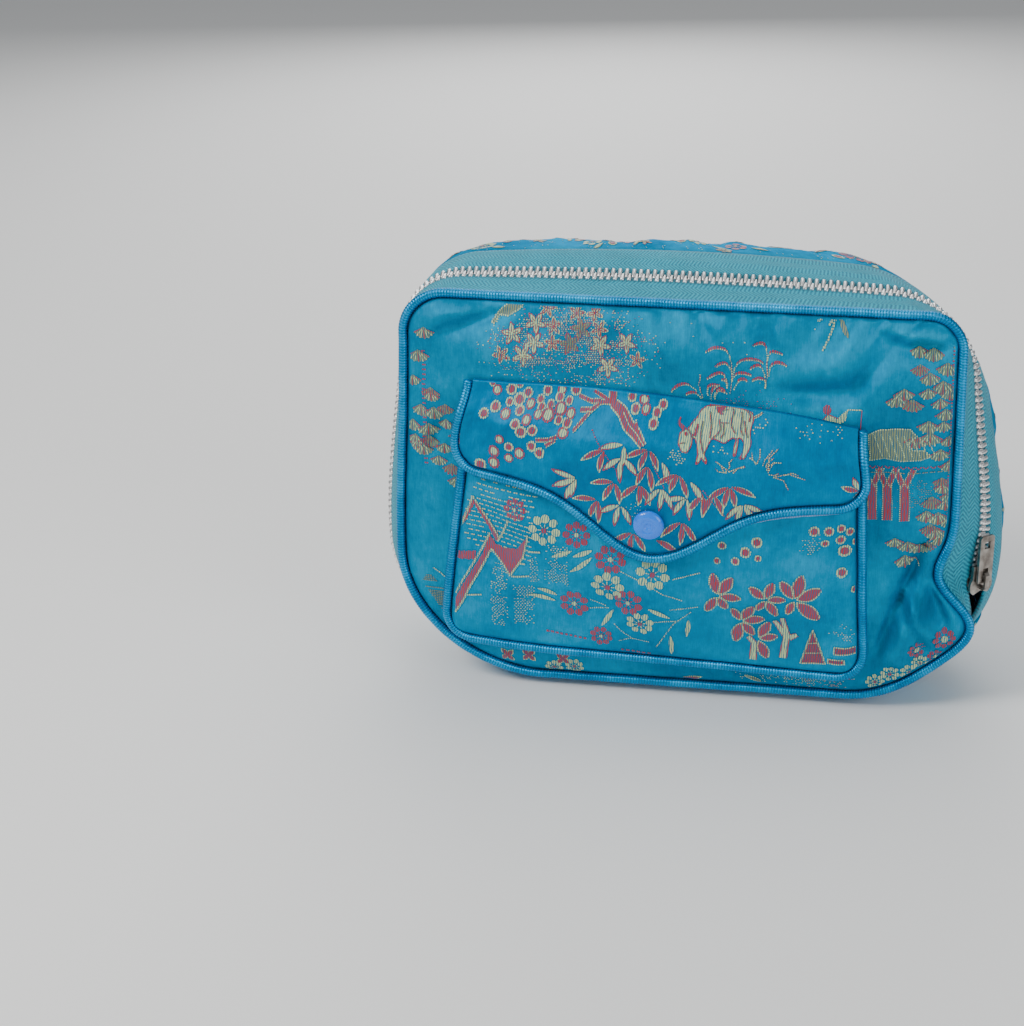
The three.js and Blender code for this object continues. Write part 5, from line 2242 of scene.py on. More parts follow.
@dataclass
class Gusset(Maker):
    """The ring between the panels: brocade behind the zip and under the purse."""

    wall: float = 1.8
    strip_gap: float = 0.006

    def build(self) -> list[Piece]:
        """Builds and dresses the two brocade strips.

        Returns:
            The pieces.
        """
        form = self.form
        far = form.back_y - form.piping_reach
        start = form.rear_tape_end + form.clearance
        band = BandSurface(form, start, far)
        ends = (form.zip_end_right, form.zip_end_left)
        made = [self._strip("rear_band_cloth", "rear_band", ends, (start, far), (420, 26))]
        low, high = form.zip_end_left - 8 + self.strip_gap, form.zip_end_right - self.strip_gap
        near = form.front_y + form.piping_reach
        made.append(self._strip("base_cloth", "base_gusset", (low, high), (near, far), (260, 46)))
        run = run_round(form, np.array([form.zip_end_right, form.zip_end_left, low, -0.35, 1.35, high]))
        pattern = BandPattern(band, spans=((run[0], run[1]),))
        made.append(settle(pattern.draw().build("band_pattern", self.threads()), "satin"))
        corners = ((run[2], run[3]), (run[4], run[5]))
        pattern = BandPattern(BandSurface(form, near, far), 1, 0.13, 2, corners, -2, 15, 6.5)
        made.append(settle(pattern.draw().build("base_pattern", self.threads()), "satin"))
        return made

    def _strip(self, name: str, node: str, ends: Spot, depths: Spot, counts: tuple[int, int]) -> Piece:
        """One strip between two ends of the ring and two depths.

        Args:
            name: the piece's name.
            node: the solid that it stands for.
            ends: first and last place round the ring.
            depths: front and rear edge.
            counts: points along and across.

        Returns:
            The piece.
        """
        along = even_places(self.form, *ends, counts[0])
        place, y = np.meshgrid(along, np.linspace(*depths, counts[1]), indexing="ij")
        run = run_round(self.form, place)
        lift = strip_lift(self.form, run, y, *depths, place)
        face = self.form.gusset(place, y, lift)
        inner = self.form.gusset(place, y, -self.wall)
        obj = cloth_sheet(name, face, inner - face, np.stack([y, run], -1))
        return self.lay(obj, "satin", "satin", node)


@dataclass
class Zip(Maker):
    """The zip's two woven tapes and the closed chain of teeth; the slider and its pull are the imported solids."""

    tape_wall: float = 1
    pitch: float = 2.4
    thick: float = 2.4
    tape_reach: float = 1.0

    def margin(self, place: Array) -> Array:
        """How far each tape's inner edge stays from the zip's middle.

        Args:
            place: places round the ring, 0 to 8.

        Returns:
            The distances.
        """
        nose = self.form.slider_place - 0.62 * self.form.slider_length / self.form.right_side
        share = smooth(0, 1, (place - self.form.zip_end_right) / (nose - self.form.zip_end_right))
        under = smooth(0, 0.03, place - self.form.slider_place)
        return mix(mix(self.form.clearance, self.form.chain_margin, share), self.tape_reach, under)

    def build(self) -> list[Piece]:
        """Builds and dresses the zip's parts.

        Returns:
            The pieces.
        """
        form = self.form
        near = form.front_y + form.piping_reach
        made = [
            self._tape("front_tape", "zip_tape_front",
                       lambda p: np.full_like(p, near), lambda p: form.zip_y - self.margin(p)),
            self._tape("rear_tape", "zip_tape_rear",
                       lambda p: form.zip_y + self.margin(p), lambda p: np.full_like(p, form.rear_tape_end)),
            self._chain(),
        ]
        return made

    def _tape(self, name: str, node: str, near: Callable[[Array], Array], far: Callable[[Array], Array]) -> Piece:
        """One woven tape.

        Args:
            name: the piece's name.
            node: the solid that it stands for.
            near: gives the depth of its front edge at places.
            far: gives that of its rear edge.

        Returns:
            The piece.
        """
        place = even_places(self.form, self.form.zip_end_right, self.form.zip_end_left, 420)
        share = np.linspace(0, 1, 12)
        y = near(place)[:, None] + (far(place) - near(place))[:, None] * share
        place = np.repeat(place[:, None], 12, 1)
        run = run_round(self.form, place)
        lift = 0.12 * ripple(run / 18, y / 20, 71) * np.sin(math.pi * share)
        face = self.form.gusset(place, y, lift)
        inner = self.form.gusset(place, y, -self.tape_wall)
        obj = cloth_sheet(name, face, inner - face, np.stack([run, y], -1))
        return self.lay(obj, "tape", "tape_weave", node)

    def frames(self, place: Array) -> Quad:
        """Centre, and directions along, across and out of the zip at places of the ring.

        Args:
            place: places round the ring, 0 to 8.

        Returns:
            The centres and the three directions.
        """
        y = np.full_like(place, self.form.zip_y)
        centre = self.form.gusset(place, y)
        along = unit(self.form.gusset(place + 0.004, y) - self.form.gusset(place - 0.004, y))
        across = self.form.gusset(place, y + 0.5) - self.form.gusset(place, y - 0.5)
        out = unit(np.cross(across, along))
        return centre, along, np.cross(along, out), out

    def _chain(self) -> Piece:
        """The teeth: each clamps its tape's edge and ends in a small hook between the teeth of the other side.

        Returns:
            The piece.
        """
        form = self.form
        table = np.linspace(form.slider_place - 0.012, form.zip_end_left - 0.05, 3000)
        spots = form.gusset(table, np.full_like(table, form.zip_y))
        run = run_along(spots)
        count = int(round(run[-1] / (self.pitch / 2)))
        place = np.interp(np.linspace(0, run[-1], count + 1), run, table)
        centre, along, across, out = self.frames(place)
        profile, faces = self._tooth()
        points, quads = [], []
        low = -(self.tape_wall + self.thick) / 2
        for k in range(count + 1):
            side = -1 if k % 2 else 1
            spot = (centre[k] + out[k] * (low + self.thick / 2) + np.outer(profile[:, 0] * side, across[k])
                    + np.outer(profile[:, 1], along[k]) + np.outer(profile[:, 2], out[k]))
            turned = faces if side > 0 else faces[:, ::-1]
            points.append(spot)
            quads.append(turned + k * len(profile))
        obj = make_mesh("zip_teeth", np.concatenate(points), np.concatenate(quads))
        fix_normals(obj)
        return self.lay(obj, "teeth", "zip_metal", "zip_chain")

    def _tooth(self) -> Pair:
        """One tooth's points (across, along, out) and quads: a rounded bar that narrows to its hook.

        Returns:
            The points and the quads.
        """
        stations = [(-0.95, 0.3, 0.5), (-0.75, 0.42, 0.75), (-0.2, 0.46, 0.9), (0.3, 0.54, 1.05), (0.8, 0.7, 1.2),
                    (1.6, 0.76, 1.3), (2.4, 0.76, 1.3), (2.75, 0.66, 1.1), (2.9, 0.42, 0.75)]
        angle = (np.arange(8) + 0.5) * math.tau / 8
        ring = np.stack([np.cos(angle), np.sin(angle)], -1)
        ring = np.sign(ring) * np.abs(ring) ** 0.7
        points = [np.stack([np.full(8, x), ring[:, 0] * wide, ring[:, 1] * high], -1) for x, wide, high in stations]
        faces = grid_faces(len(stations), 8, wrap=True)
        ends = [[0, 1, 2, 3], [0, 3, 4, 7], [4, 5, 6, 7]]
        last = (len(stations) - 1) * 8
        faces = np.concatenate([faces, np.array(ends)[:, ::-1], np.array(ends) + last])
        return np.concatenate(points), faces


@dataclass
class Pocket(Maker):
    """The front pocket with its piping, flap and snap cap."""

    pocket: PocketForm | None = None
    snap_along: float = 72.5
    snap_down: float = 38.4
    snap_height: float = 2.3

    def build(self) -> list[Piece]:
        """Builds and dresses the pocket.

        Returns:
            The pieces.
        """
        self.pocket = PocketForm(self.form)
        face, flap = PocketSurface(self.pocket), FlapSurface(self.pocket)
        face.simulate()
        flap.simulate()
        made = [self._panel(face), self._flap(flap), self._pocket_cord(), self._flap_cord(), self._lining(),
                self._cap()]
        made.append(settle(PocketPattern(face, up=-1).draw().build("pocket_pattern", self.threads()), "satin"))
        made.append(settle(FlapPattern(flap, up=-1).draw().build("flap_pattern", self.threads()), "satin"))
        return made

    def _panel(self, surface: PocketSurface) -> Piece:
        """The pocket's padded front, sides gently rounded at the bottom corners.

        Args:
            surface: the form that it follows.

        Returns:
            The piece.
        """
        p = self.pocket
        t = np.linspace(0, 1, 96)
        fall = t + 0.06 * np.sin(math.pi * t)
        height = p.drop_right - p.mouth
        turned = np.clip(p.corner_radius - (1 - fall) * height, 0, p.corner_radius)
        cut = (p.corner_radius - np.sqrt(p.corner_radius**2 - turned**2)) / p.width_bottom
        across = cut[:, None] + (1 - 2 * cut)[:, None] * crowded(150, 0.05)
        down = p.mouth + (p.bottom(across, p.body_inset) - p.mouth) * np.minimum(fall, 1)[:, None]
        left, width = p.sides(down, p.body_inset)
        along = left + width * across
        face = surface.at(along, down)
        obj = cloth_sheet("pocket_cloth", face, (0, p.pocket_wall, 0), np.stack([along, down], -1))
        # painted light: the pocket wears the brighter copy of the satin
        obj = self.lay(obj, "pocket_satin", "satin", "pocket_panel")
        return obj

    def _flap(self, surface: FlapSurface) -> Piece:
        """The flap, from its sewn top to its bell-shaped edge.

        Args:
            surface: the form that it follows.

        Returns:
            The piece.
        """
        p = self.pocket
        along = p.body_inset + (p.flap_width - 2 * p.body_inset) * crowded(170, 0.1)
        top, edge = p.flap_top(along), p.flap_edge(along)
        down = top + (edge - top) * np.linspace(0, 1, 64)[:, None]
        along = np.repeat(along[None], 64, 0)
        face = surface.at(along, down)
        obj = cloth_sheet("flap_cloth", face, (0, p.flap_wall, 0), np.stack([along, down], -1))
        # painted shade: the flap wears the darker copy of the satin
        obj = self.lay(obj, "flap_satin", "satin", "flap")
        return obj

    def _pocket_cord(self) -> Piece:
        """Piping down the left side, along the bottom and up the right side.

        Returns:
            The piece.
        """
        p = self.pocket
        radius = p.corner_radius + self.form.piping_reach
        height = p.drop_right - p.mouth
        ca, cf = radius / p.width_bottom, radius / height
        arc = np.linspace(0, math.pi / 2, 16)
        plan = [(0, s * (1 - cf)) for s in np.linspace(0, 1, 30)[:-1]]
        plan += [(ca * (1 - math.cos(a)), 1 - cf * (1 - math.sin(a))) for a in arc]
        plan += [(ca + (1 - 2 * ca) * s, 1) for s in np.linspace(0, 1, 60)[1:-1]]
        plan += [(1 - ca * (1 - math.sin(a)), 1 - cf * (1 - math.cos(a))) for a in arc]
        plan += [(1, (1 - cf) * (1 - s)) for s in np.linspace(0, 1, 30)[1:]]
        across, fall = np.array(plan).T
        inset = self.form.piping_radius
        down = p.mouth + (p.bottom(across, inset) - p.mouth) * fall
        left, width = p.sides(down, inset)
        line = p.place(left + width * across, down, np.full_like(down, self.form.piping_reach))
        return self.pipe("pocket_cord", line, "pocket_piping")

    def _cap(self) -> Piece:
        """The snap's cap: a shallow dome with a ring and a dimple, over the solid's place.

        Returns:
            The piece.
        """
        low, high = (np.array(corner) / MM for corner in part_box("snap_cap"))
        spot = np.array([self.snap_along, self.snap_down])
        across, down = (self._flap_spot(spot + step) - self._flap_spot(spot - step) for step in ([7, 0], [0, 7]))
        out = np.cross(across, down)
        out *= -np.sign(out[1]) / np.linalg.norm(out)
        side = across / np.linalg.norm(across)
        base = self._flap_spot(spot) + out * (self.form.clearance + self.pocket.facet_slack / 2)
        profile = [(0.0, 0), (0.88, 0), (0.94, 0.06), (1, 0.25), (0.995, 0.4), (0.97, 0.55), (0.9, 0.74), (0.8, 0.88),
                   (0.68, 0.96), (0.55, 1), (0.47, 0.99), (0.43, 0.93), (0.39, 0.93), (0.34, 0.97), (0.25, 0.95),
                   (0.19, 0.86), (0.16, 0.79), (0.08, 0.765), (0, 0.76)]
        turn = np.linspace(0, math.tau, 72, endpoint=False)
        ring = np.outer(np.cos(turn), side) + np.outer(np.sin(turn), np.cross(out, side))
        radius = (high[0] - low[0]) / 2
        points = [base + ring * max(share, 0.002) * radius + out * rise * self.snap_height for share, rise in profile]
        cap = make_mesh("cap", np.concatenate(points), grid_faces(len(profile), 72, wrap=True))
        fix_normals(cap)
        return self.lay(cap, "cap", "cap_plastic", "snap_cap")

    def _lining(self) -> Piece:
        """The pale edge of the lining, which shows below the flap's piping towards its right end.

        Returns:
            The piece.
        """
        p = self.pocket
        share = np.linspace(0, 1, 90)
        along = p.flap_width * mix(0.7, 0.945, share)
        shown = 2 * self.form.piping_reach + 0.75 * np.sin(math.pi * share) ** 0.6
        down = p.flap_edge(along) + np.linspace(0.4, 1, 6)[:, None] * shown
        stand = p.flap_stand(along, p.flap_edge(along)) - p.flap_wall
        along = np.repeat(along[None], 6, 0)
        face = p.place(along, down, stand + 0.1 * ripple(along / 5, down / 3, 91))
        obj = cloth_sheet("flap_lining", face, (0, 0.4, 0), np.stack([along, down], -1))
        return self.lay(obj, "lining", "satin")

    def _flap_spot(self, spot: Array) -> Array:
        """A point of the flap's face at rest."""
        return self.pocket.place(spot[0], spot[1], self.pocket.flap_stand(spot[0], spot[1]))

    def _flap_cord(self) -> Piece:
        """Piping down the flap's left side, along its curved edge and up its right side.

        Returns:
            The piece.
        """
        p = self.pocket
        inset, reach = p.body_inset, self.form.piping_reach
        left, right = p.flap_edge(np.array([inset, p.flap_width - inset]))
        along = inset + (p.flap_width - 2 * inset) * crowded(260, 0.1)
        plan = [(inset, left * s) for s in np.linspace(0, 1, 24)[:-1]]
        plan += list(zip(along, p.flap_edge(along)))
        plan += [(p.flap_width - inset, right * (1 - s)) for s in np.linspace(0, 1, 24)[1:]]
        edge = np.array(plan)
        step = unit(np.gradient(edge, axis=0))
        a, d = edge[:, 0] - step[:, 1] * reach, np.maximum(0, edge[:, 1] + step[:, 0] * reach)
        stand = np.maximum(reach, p.flap_stand(edge[:, 0], edge[:, 1]) - p.flap_wall / 2)
        line = p.place(p.flap_along(a, d), d, stand)
        return self.pipe("flap_cord", line, "flap_piping")


# Patterns, charted in the plan of each cloth face


@dataclass
class FrontPattern(Brocade):
    """The front panel's figures: star blossom, pine fans, plumes, a thatched roof and chrysanthemums."""

    def draw(self) -> "FrontPattern":
        """Lays the figures.

        Returns:
            The pattern.
        """
        self.stipple((-72, 115, -1, 150), fill=0.9, pitch=0.85, size=0.46)
        self.stipple((-70, 116, -3, 149), CRIMSON, fill=0.8, pitch=0.95, size=0.42)
        stars = (
            (-56.3, 135.9), (-48.5, 139.7), (-48.9, 133.3), (-52.6, 129.2), (-17.1, 134.3), (-26, 133.2),
            (-23.4, 126),
        )
        dark_stars = ((-32.6, 138.3), (-36.6, 133.3))
        red_stars = (
            (-59.8, 129), (-42.2, 138.8), (-42.5, 133.3), (-26.5, 138.5), (-28.2, 143.5), (-34.4, 143.2),
            (-44.6, 144.5), (-13.1, 129),
        )
        cloud = (
            (-63.8, 138.9), (-61, 143.2), (-58.2, 145.4), (-52.6, 146.3), (-54, 144), (-56.7, 142.2),
            (-58.2, 141.3), (-61, 141.5), (-62.8, 138.6),
        )
        crosses = ((-62.5, 12.5), (-54.5, 13.5), (-42, 12.9))
        for u, v in stars:
            self.star((u, v), 3.9, 90 + 40 * math.sin(u))
        for u, v in dark_stars:
            self.star((u, v), 3.9, 70 + 40 * math.sin(u), KHAKI)
        for u, v in red_stars:
            self.star((u, v), 3.2, 30 + u * 7, CRIMSON, GOLD)
        self.hatch(KHAKI, cloud, 0.5, 0.5)
        self.teeth(GOLD, [*cloud, cloud[0]])
        for u, v in crosses:
            for turn in (45, 135, 225, 315):
                self.leaf((u, v), 3.3, turn, 2.2, CRIMSON, GOLD)
        self._pines()
        self._plumes()
        self._roof()
        self._low_edge()
        return self

    def _pines(self) -> None:
        """Pine fans up both edges, joined by short dashes."""
        fans = (
            (-87.6, 135.8), (-90.6, 127.1), (-93, 117.8), (-86.1, 114.1), (-91, 95), (-86, 112.8), (-90.2, 107.4),
            (-85.3, 107.2), (-80.9, 108.8), (-93.6, 101.6), (-87.6, 101), (-81.1, 103), (-92.2, 96.6),
            (-87.4, 96.4), (-81.9, 94.2), (-89.4, 93.2), (-76.5, 99.2), (-84, 89.4), (-79.5, 86.8), (-77.5, 82.4),
            (80.9, 137), (85.7, 136.5), (90.5, 132.1), (81.3, 131.5), (84.7, 128.7), (89.1, 125.8), (84, 123.5),
            (91.5, 123.3), (79.2, 119.6), (88.4, 119.7), (90.5, 115.9), (84.7, 111.9), (89.7, 111.5), (80.7, 106.3),
            (85.3, 107.6), (91.6, 106.1), (88.8, 101.8), (92.7, 97.4), (90.3, 90.7), (76.4, 123.5), (74.2, 121.3),
            (90.7, 88.5), (93.2, 85.7), (87.2, 83.8), (91.6, 82.6), (85.4, 78.9), (89.4, 78.2), (92.9, 76),
            (86.9, 74.1), (90.1, 69.9), (75.3, 69.4), (79.7, 67.6), (83.5, 66.2), (86.2, 66.8), (88.7, 72.5),
            (78.9, 61.7),
        )
        threads = (KHAKI, GOLD, KHAKI, CRIMSON, KHAKI)
        for k, (u, v) in enumerate(fans):
            self.pine((u, v), 4.3 + 0.5 * math.sin(k * 2.1), threads[k % 5])
        for k, v in enumerate(np.arange(58, 142, 1.15)):
            self.strip(CRIMSON if k % 3 else KHAKI, [(92, v), (93.8 + 0.6 * math.sin(k), v)], 0.5)
        for v in np.arange(86, 128, 1.7):
            self.strip(CRIMSON, [(-89.6, v), (-88.2, v)], 0.5)

    def _plumes(self) -> None:
        """Drooping plumes over the flap, a sprig and a thin cloud of stitches."""
        plumes = (
            ((18.4, 129.7), (15.8, 134.5), (9.9, 133.2)), ((18.8, 126.1), (16.7, 129.5), (13.1, 128.4)),
            ((17.2, 121.5), (15.5, 126.2), (10.5, 124.3)), ((19.2, 125.8), (22.1, 130.5), (29.5, 129.6)),
            ((18.9, 123.7), (20.9, 126), (25.5, 125.3)), ((19.6, 120.9), (21.6, 123.9), (24.3, 123.2)),
            ((12, 116.7), (12.3, 120.1), (14.9, 122.5)), ((13.4, 117.5), (14.3, 120.2), (17.2, 119.5)),
            ((30.4, 130.6), (29.3, 135.3), (25.2, 135.3)), ((30.7, 130.7), (32, 133.4), (35.7, 133.1)),
            ((31.2, 125.7), (32.8, 129.8), (37.5, 129.4)), ((29.9, 125.3), (28.2, 128.6), (24.5, 127.4)),
            ((30, 121.3), (29.6, 124.3), (25.6, 123.7)), ((7.2, 120), (3.1, 122.1), (-1.7, 119.1)),
            ((8.8, 117.5), (6.3, 119.2), (3.3, 118.3)), ((10.4, 115.9), (6.7, 116.5), (2.1, 116.2)),
            ((11, 118.6), (11.2, 121.7), (14.5, 122.3)), ((12.8, 118.1), (14.6, 121), (16.9, 119.7)),
            ((17.3, 121.4), (17.2, 123.3), (15.4, 124.2)),
        )
        stems = (
            ((18.4, 130.4), (18.9, 125), (18.4, 119)), ((30.4, 131.3), (30.9, 126), (30, 121.3)),
            ((9.1, 117.4), (7.9, 122), (8.5, 125.3)),
        )
        sprigs = (
            ((47.1, 144.3), (49.3, 145.7), (51.7, 145.9), (55.8, 146.5)),
            ((53.1, 146), (51.8, 141.9), (50.6, 138.5), (49.2, 135.5)), ((52, 145.3), (51.1, 143.9), (50.4, 143.2)),
        )
        olive = ((54.3, 145.8), (57.5, 139.8))
        for ends in plumes:
            self.arc(ends)
        for line in stems:
            self.strip(CRIMSON, line, 0.3)
            self.teeth(GOLD, line, 0.36, 0.9)
        for line in sprigs:
            self.teeth(GOLD, line, 0.62, 0.9)
        self.blade(olive, 2.4, KHAKI)
        self.stipple((8, 106, 42, 121), CRIMSON, fill=0.6, pitch=0.9, size=0.34)
        self.stipple((-70, 108, 78, 150), fill=0.05, pitch=1.8)

    def _roof(self) -> None:
        """A rod with its load over the flap, and a thatched roof on red posts by the right edge."""
        roof = (
            (65.4, 107.2), (69, 108.8), (78.9, 108.7), (81, 106.3), (78.4, 103.6), (79.9, 101.5), (83.8, 101.5),
            (85.9, 99.5), (82.6, 98.3), (76, 97.7), (70.7, 98.5), (66, 97.7),
        )
        posts = (
            (67.4, 76), (72.4, 76), (78.1, 75.5), (67, 88.9), (72, 89), (77.7, 88.8), (66.8, 94.7), (71.8, 94.8),
            (77.4, 94.7),
        )
        rod = (
            (51.1, 114.9), (48.9, 110.4), (51.5, 113.5), (54.9, 112.4), (58.2, 115.8), (57.6, 112), (55, 110.1),
            (58.2, 115.6), (62.8, 116), (62.5, 108.3),
        )
        self.disc(CRIMSON, rod[0], 1.45)
        self.hatch(GOLD, rod[1:7])
        self.strip(CRIMSON, rod[1:4], 0.3, 1)
        self.strip(GOLD, rod[7:9], 0.4)
        self.strip(CRIMSON, rod[8:], 0.34)
        self.hatch(KHAKI, roof, 0.5, 0.5)
        self.teeth(GOLD, [*roof, roof[0]], 0.45, 0.8, 2)
        low, high = min(v for _, v in roof), max(v for _, v in roof)
        for k in range(8):
            u = roof[0][0] + 1.5 + k * 2.5
            self.teeth(GOLD, [(u, high - 1.4 - 0.25 * k), (u + 3.2, low + 1.2)], 0.36, 0.6, 2)
        for k in range(11):
            self.strip(CRIMSON, [(66 + 2.5 * k, low - 2), (67.2 + 2.5 * k, low - 3), (68 + 2.5 * k, low - 2)], 0.42)
            self.strip(KHAKI, [(66 + 2.5 * k, low - 4.4), (67.8 + 2.5 * k, low - 4.4)], 0.4)
        for (u, v), (mid_u, mid_v), (top_u, top_v) in zip(posts[:3], posts[3:6], posts[6:]):
            fork = (mid_u, mid_v - 1)
            for ends in (((u, v), (mid_u, mid_v)), (fork, (top_u - 3, top_v)), (fork, (top_u + 3, top_v))):
                wide = 2.9 if ends[0] == (u, v) else 1.9
                self.strip(CRIMSON, ends, wide)
                for sign in (-1, 1):
                    self.teeth(GOLD, [(a + sign * wide * 0.52, b) for a, b in ends], 0.34, 0.7)
        self.stipple((78, 74, 93, 94), KHAKI, fill=0.7, pitch=0.9)
        self.stipple((66, 76, 88, 94), KHAKI, fill=0.4, pitch=1.0, size=0.36)

    def _low_edge(self) -> None:
        """Grass below the pocket and chrysanthemums at the lower right."""
        mums_low = ((84.1, 25.9, 3.1), (93.5, 30.4, 4.1), (91.1, 22.6, 3.1), (85.6, 20.1, 3.1))
        for k, (u, v, size) in enumerate(mums_low):
            self.blossom((u, v), size, 8, *two_threads(k != 3), turn=u)
            self.disc(GOLD, (u, v), size * 0.3, 1)
        for u, v in ((75.2, 15.4), (82, 15.6), (70, 11.4), (-45.6, 8.6), (-38, 9.6)):
            self.blossom((u, v), 3.4, turn=u)
        self.leaf((0.5, 7), 8, 10, 2, CRIMSON, GOLD)
        self.leaf((30, 8), 7, 160, 1.6, KHAKI, GOLD)
        self.stipple((14, 7, 74, 14), fill=0.8, pitch=0.9)
        self.stipple((34, 6.5, 70, 14), CRIMSON, fill=0.45)
        self.arc(((76.5, 58), (81, 60.2), (84, 57)), 0.2)
        patch = [(-93, 40), (-87, 30), (-80, 22), (-77, 26), (-84, 37), (-90, 44)]
        self.hatch(KHAKI, patch, 0.7, 0.4, keep=0.8)
        self.teeth(GOLD, [(-88, 46), (-80, 40), (-72, 33)])


@dataclass
class FlapPattern(Brocade):
    """The flap's figures: a berry bough, bamboo, a grazing ox and grass."""

    def draw(self) -> "FlapPattern":
        """Lays the figures.

        Returns:
            The pattern.
        """
        self._bough()
        self._bamboo()
        self._ox()
        return self

    def _bough(self) -> None:
        """Round berries in two colours on a red bough."""
        plain = (
            (11.1, -0.6, 1.2), (18.2, 0.4, 1.9), (20.9, -1.5, 1.4), (24.3, 0.8, 1.7), (31.1, -0.6, 1.7),
            (41.2, -1.9, 1.9), (18.4, 4.1, 1.4), (21.7, 3, 2.1), (29.3, 2.2, 1.5), (30.3, 4.2, 1.5),
            (33.3, 3.2, 1.5), (36, 0.8, 1.7), (39.5, 1.4, 1.4), (13.9, 6.3, 1.9), (10.5, 9.2, 1.9),
            (22.9, 6.1, 1.7), (22.8, 10.3, 1.8), (25.4, 12.7, 2.2), (29.4, 11.4, 1.9), (37.5, 6.9, 1.5),
            (40.7, 7.2, 1.7), (21.8, 19, 1.7), (30.2, 16.8, 1.9), (33.4, 18.4, 1.9), (11.7, 28.1, 2.2),
            (61.5, -2.1, 1.7), (63.4, 1.1, 1.7), (72.8, -0.9, 1.7), (71.2, 1.5, 1.7), (70.7, 4.4, 1.7),
        )
        pale = (
            (13.1, 1.3, 1.7), (18.2, 7.7, 1.9), (26.1, 3.8, 1.7), (26.4, 8.5, 1.8), (30, 6.3, 1.7),
            (33.5, 6.1, 2.2), (36.3, -1.4, 1.7), (37.2, 3.9, 2.1), (41.1, 4.6, 1.7), (40.2, 10.3, 2),
            (18.2, 16.9, 1.7), (16.4, 21.9, 2.1), (22, 23.1, 1.7), (25.9, 20.5, 2.1), (16.6, 26.1, 2.1),
            (65.9, -1.7, 1.8), (67.1, 0.9, 1.7),
        )
        twigs = (
            ((54.9, 0.3), (50.8, 0.6), (47.9, 3.2), (43.5, 9.2)), ((50.8, 0.3), (47.3, 0.8), (42.7, -0.3)),
            ((48.2, 2.9), (44, 3.4)), ((53.9, 0.1), (47.7, -2.3)), ((38.5, 11.9), (35.7, 13.4), (31.4, 14.3)),
            ((38.1, 13), (35.2, 15.5)), ((64.6, 4.4), (65.7, 7.4)),
        )
        bough = ((54.3, -4.5), (54.9, 0.3), (59, 2.4), (62, 5.4), (65.4, 7.4), (68.6, 10.7))
        for line in twigs:
            self.strip(CRIMSON, line, 1.0, 1)
            for lift in (-0.6, 0.6):
                self.teeth(GOLD, [(a + lift * 0.4, b + lift) for a, b in line], 0.36, 0.6)
        self.strip(GOLD, bough, (3.2, 3, 3.6, 3.9, 3.6, 2.6))
        self.strip(CRIMSON, bough, (2.4, 2.2, 2.7, 3, 2.7, 1.7), 1)
        self.strip(GOLD, [(u + 0.3, v) for u, v in bough[2:]], 0.3, 2)
        for u, v, size in plain:
            self.berry((u, v), False, size)
        for u, v, size in pale:
            self.berry((u, v), True, size)

    def _bamboo(self) -> None:
        """Bamboo leaves that hang over the flap's tip."""
        groups = (
            (55.8, 13.6, 1, (-150, -99)), (62.3, 10.9, 0, (-163, -90)), (62, 15.4, 0, (-140, -92, -45)),
            (70.6, 11.4, 1, (-153, -110, -62)), (70.7, 17.1, 1, (-115, -77)), (75.3, 15, 0, (-70, -67)),
            (81.6, 18.5, 1, (-145, -113, -68)), (85.2, 20.1, 0, (-56, -53)), (47.1, 25, 0, (171, -145, -105)),
            (60.2, 24.3, 1, (-169, -118, -75)), (68.4, 23.9, 1, (-135, -88, -62)),
            (54.5, 31.9, 1, (-175, -110, -86)), (62.5, 32.5, 0, (-150, -103, -60)),
            (75.7, 24.7, 0, (-127, -90, -58)), (84.7, 26.7, 0, (-160, -120, -80)), (90.3, 24.5, 1, (-122, -88)),
            (93.6, 23.7, 1, (-110, -65)), (67.2, 42.3, 1, (-143, -95, -55)), (83.7, 36.1, 1, (-137, -90, -54)),
            (74.9, 43.8, 1, (-30, -27)), (98.7, 20.2, 1, (-140, -100, -72, -21)),
            (103.6, 26.5, 0, (-130, -100, -60, -27)), (46.1, 26.6, 0, (-159, -112)),
        )
        sprig = ((141.8, 20.4),)
        for u, v, red, turns in groups:
            self.bamboo((u, v), bool(red), turns)
        for turn, red in ((115, 0), (168, 1), (-55, 0), (-108, 1)):
            self.bamboo(sprig[0], bool(red), (turn,), 5.2)
        for line in (((50, 8), (55, 14), (62, 22)), ((72, 16), (77, 25)), ((90, 23), (98, 32))):
            self.teeth(CRIMSON, line, 0.4, 0.8, 0)
        self.stipple((62, 24, 74, 40), fill=0.6, pitch=0.85, size=0.34)

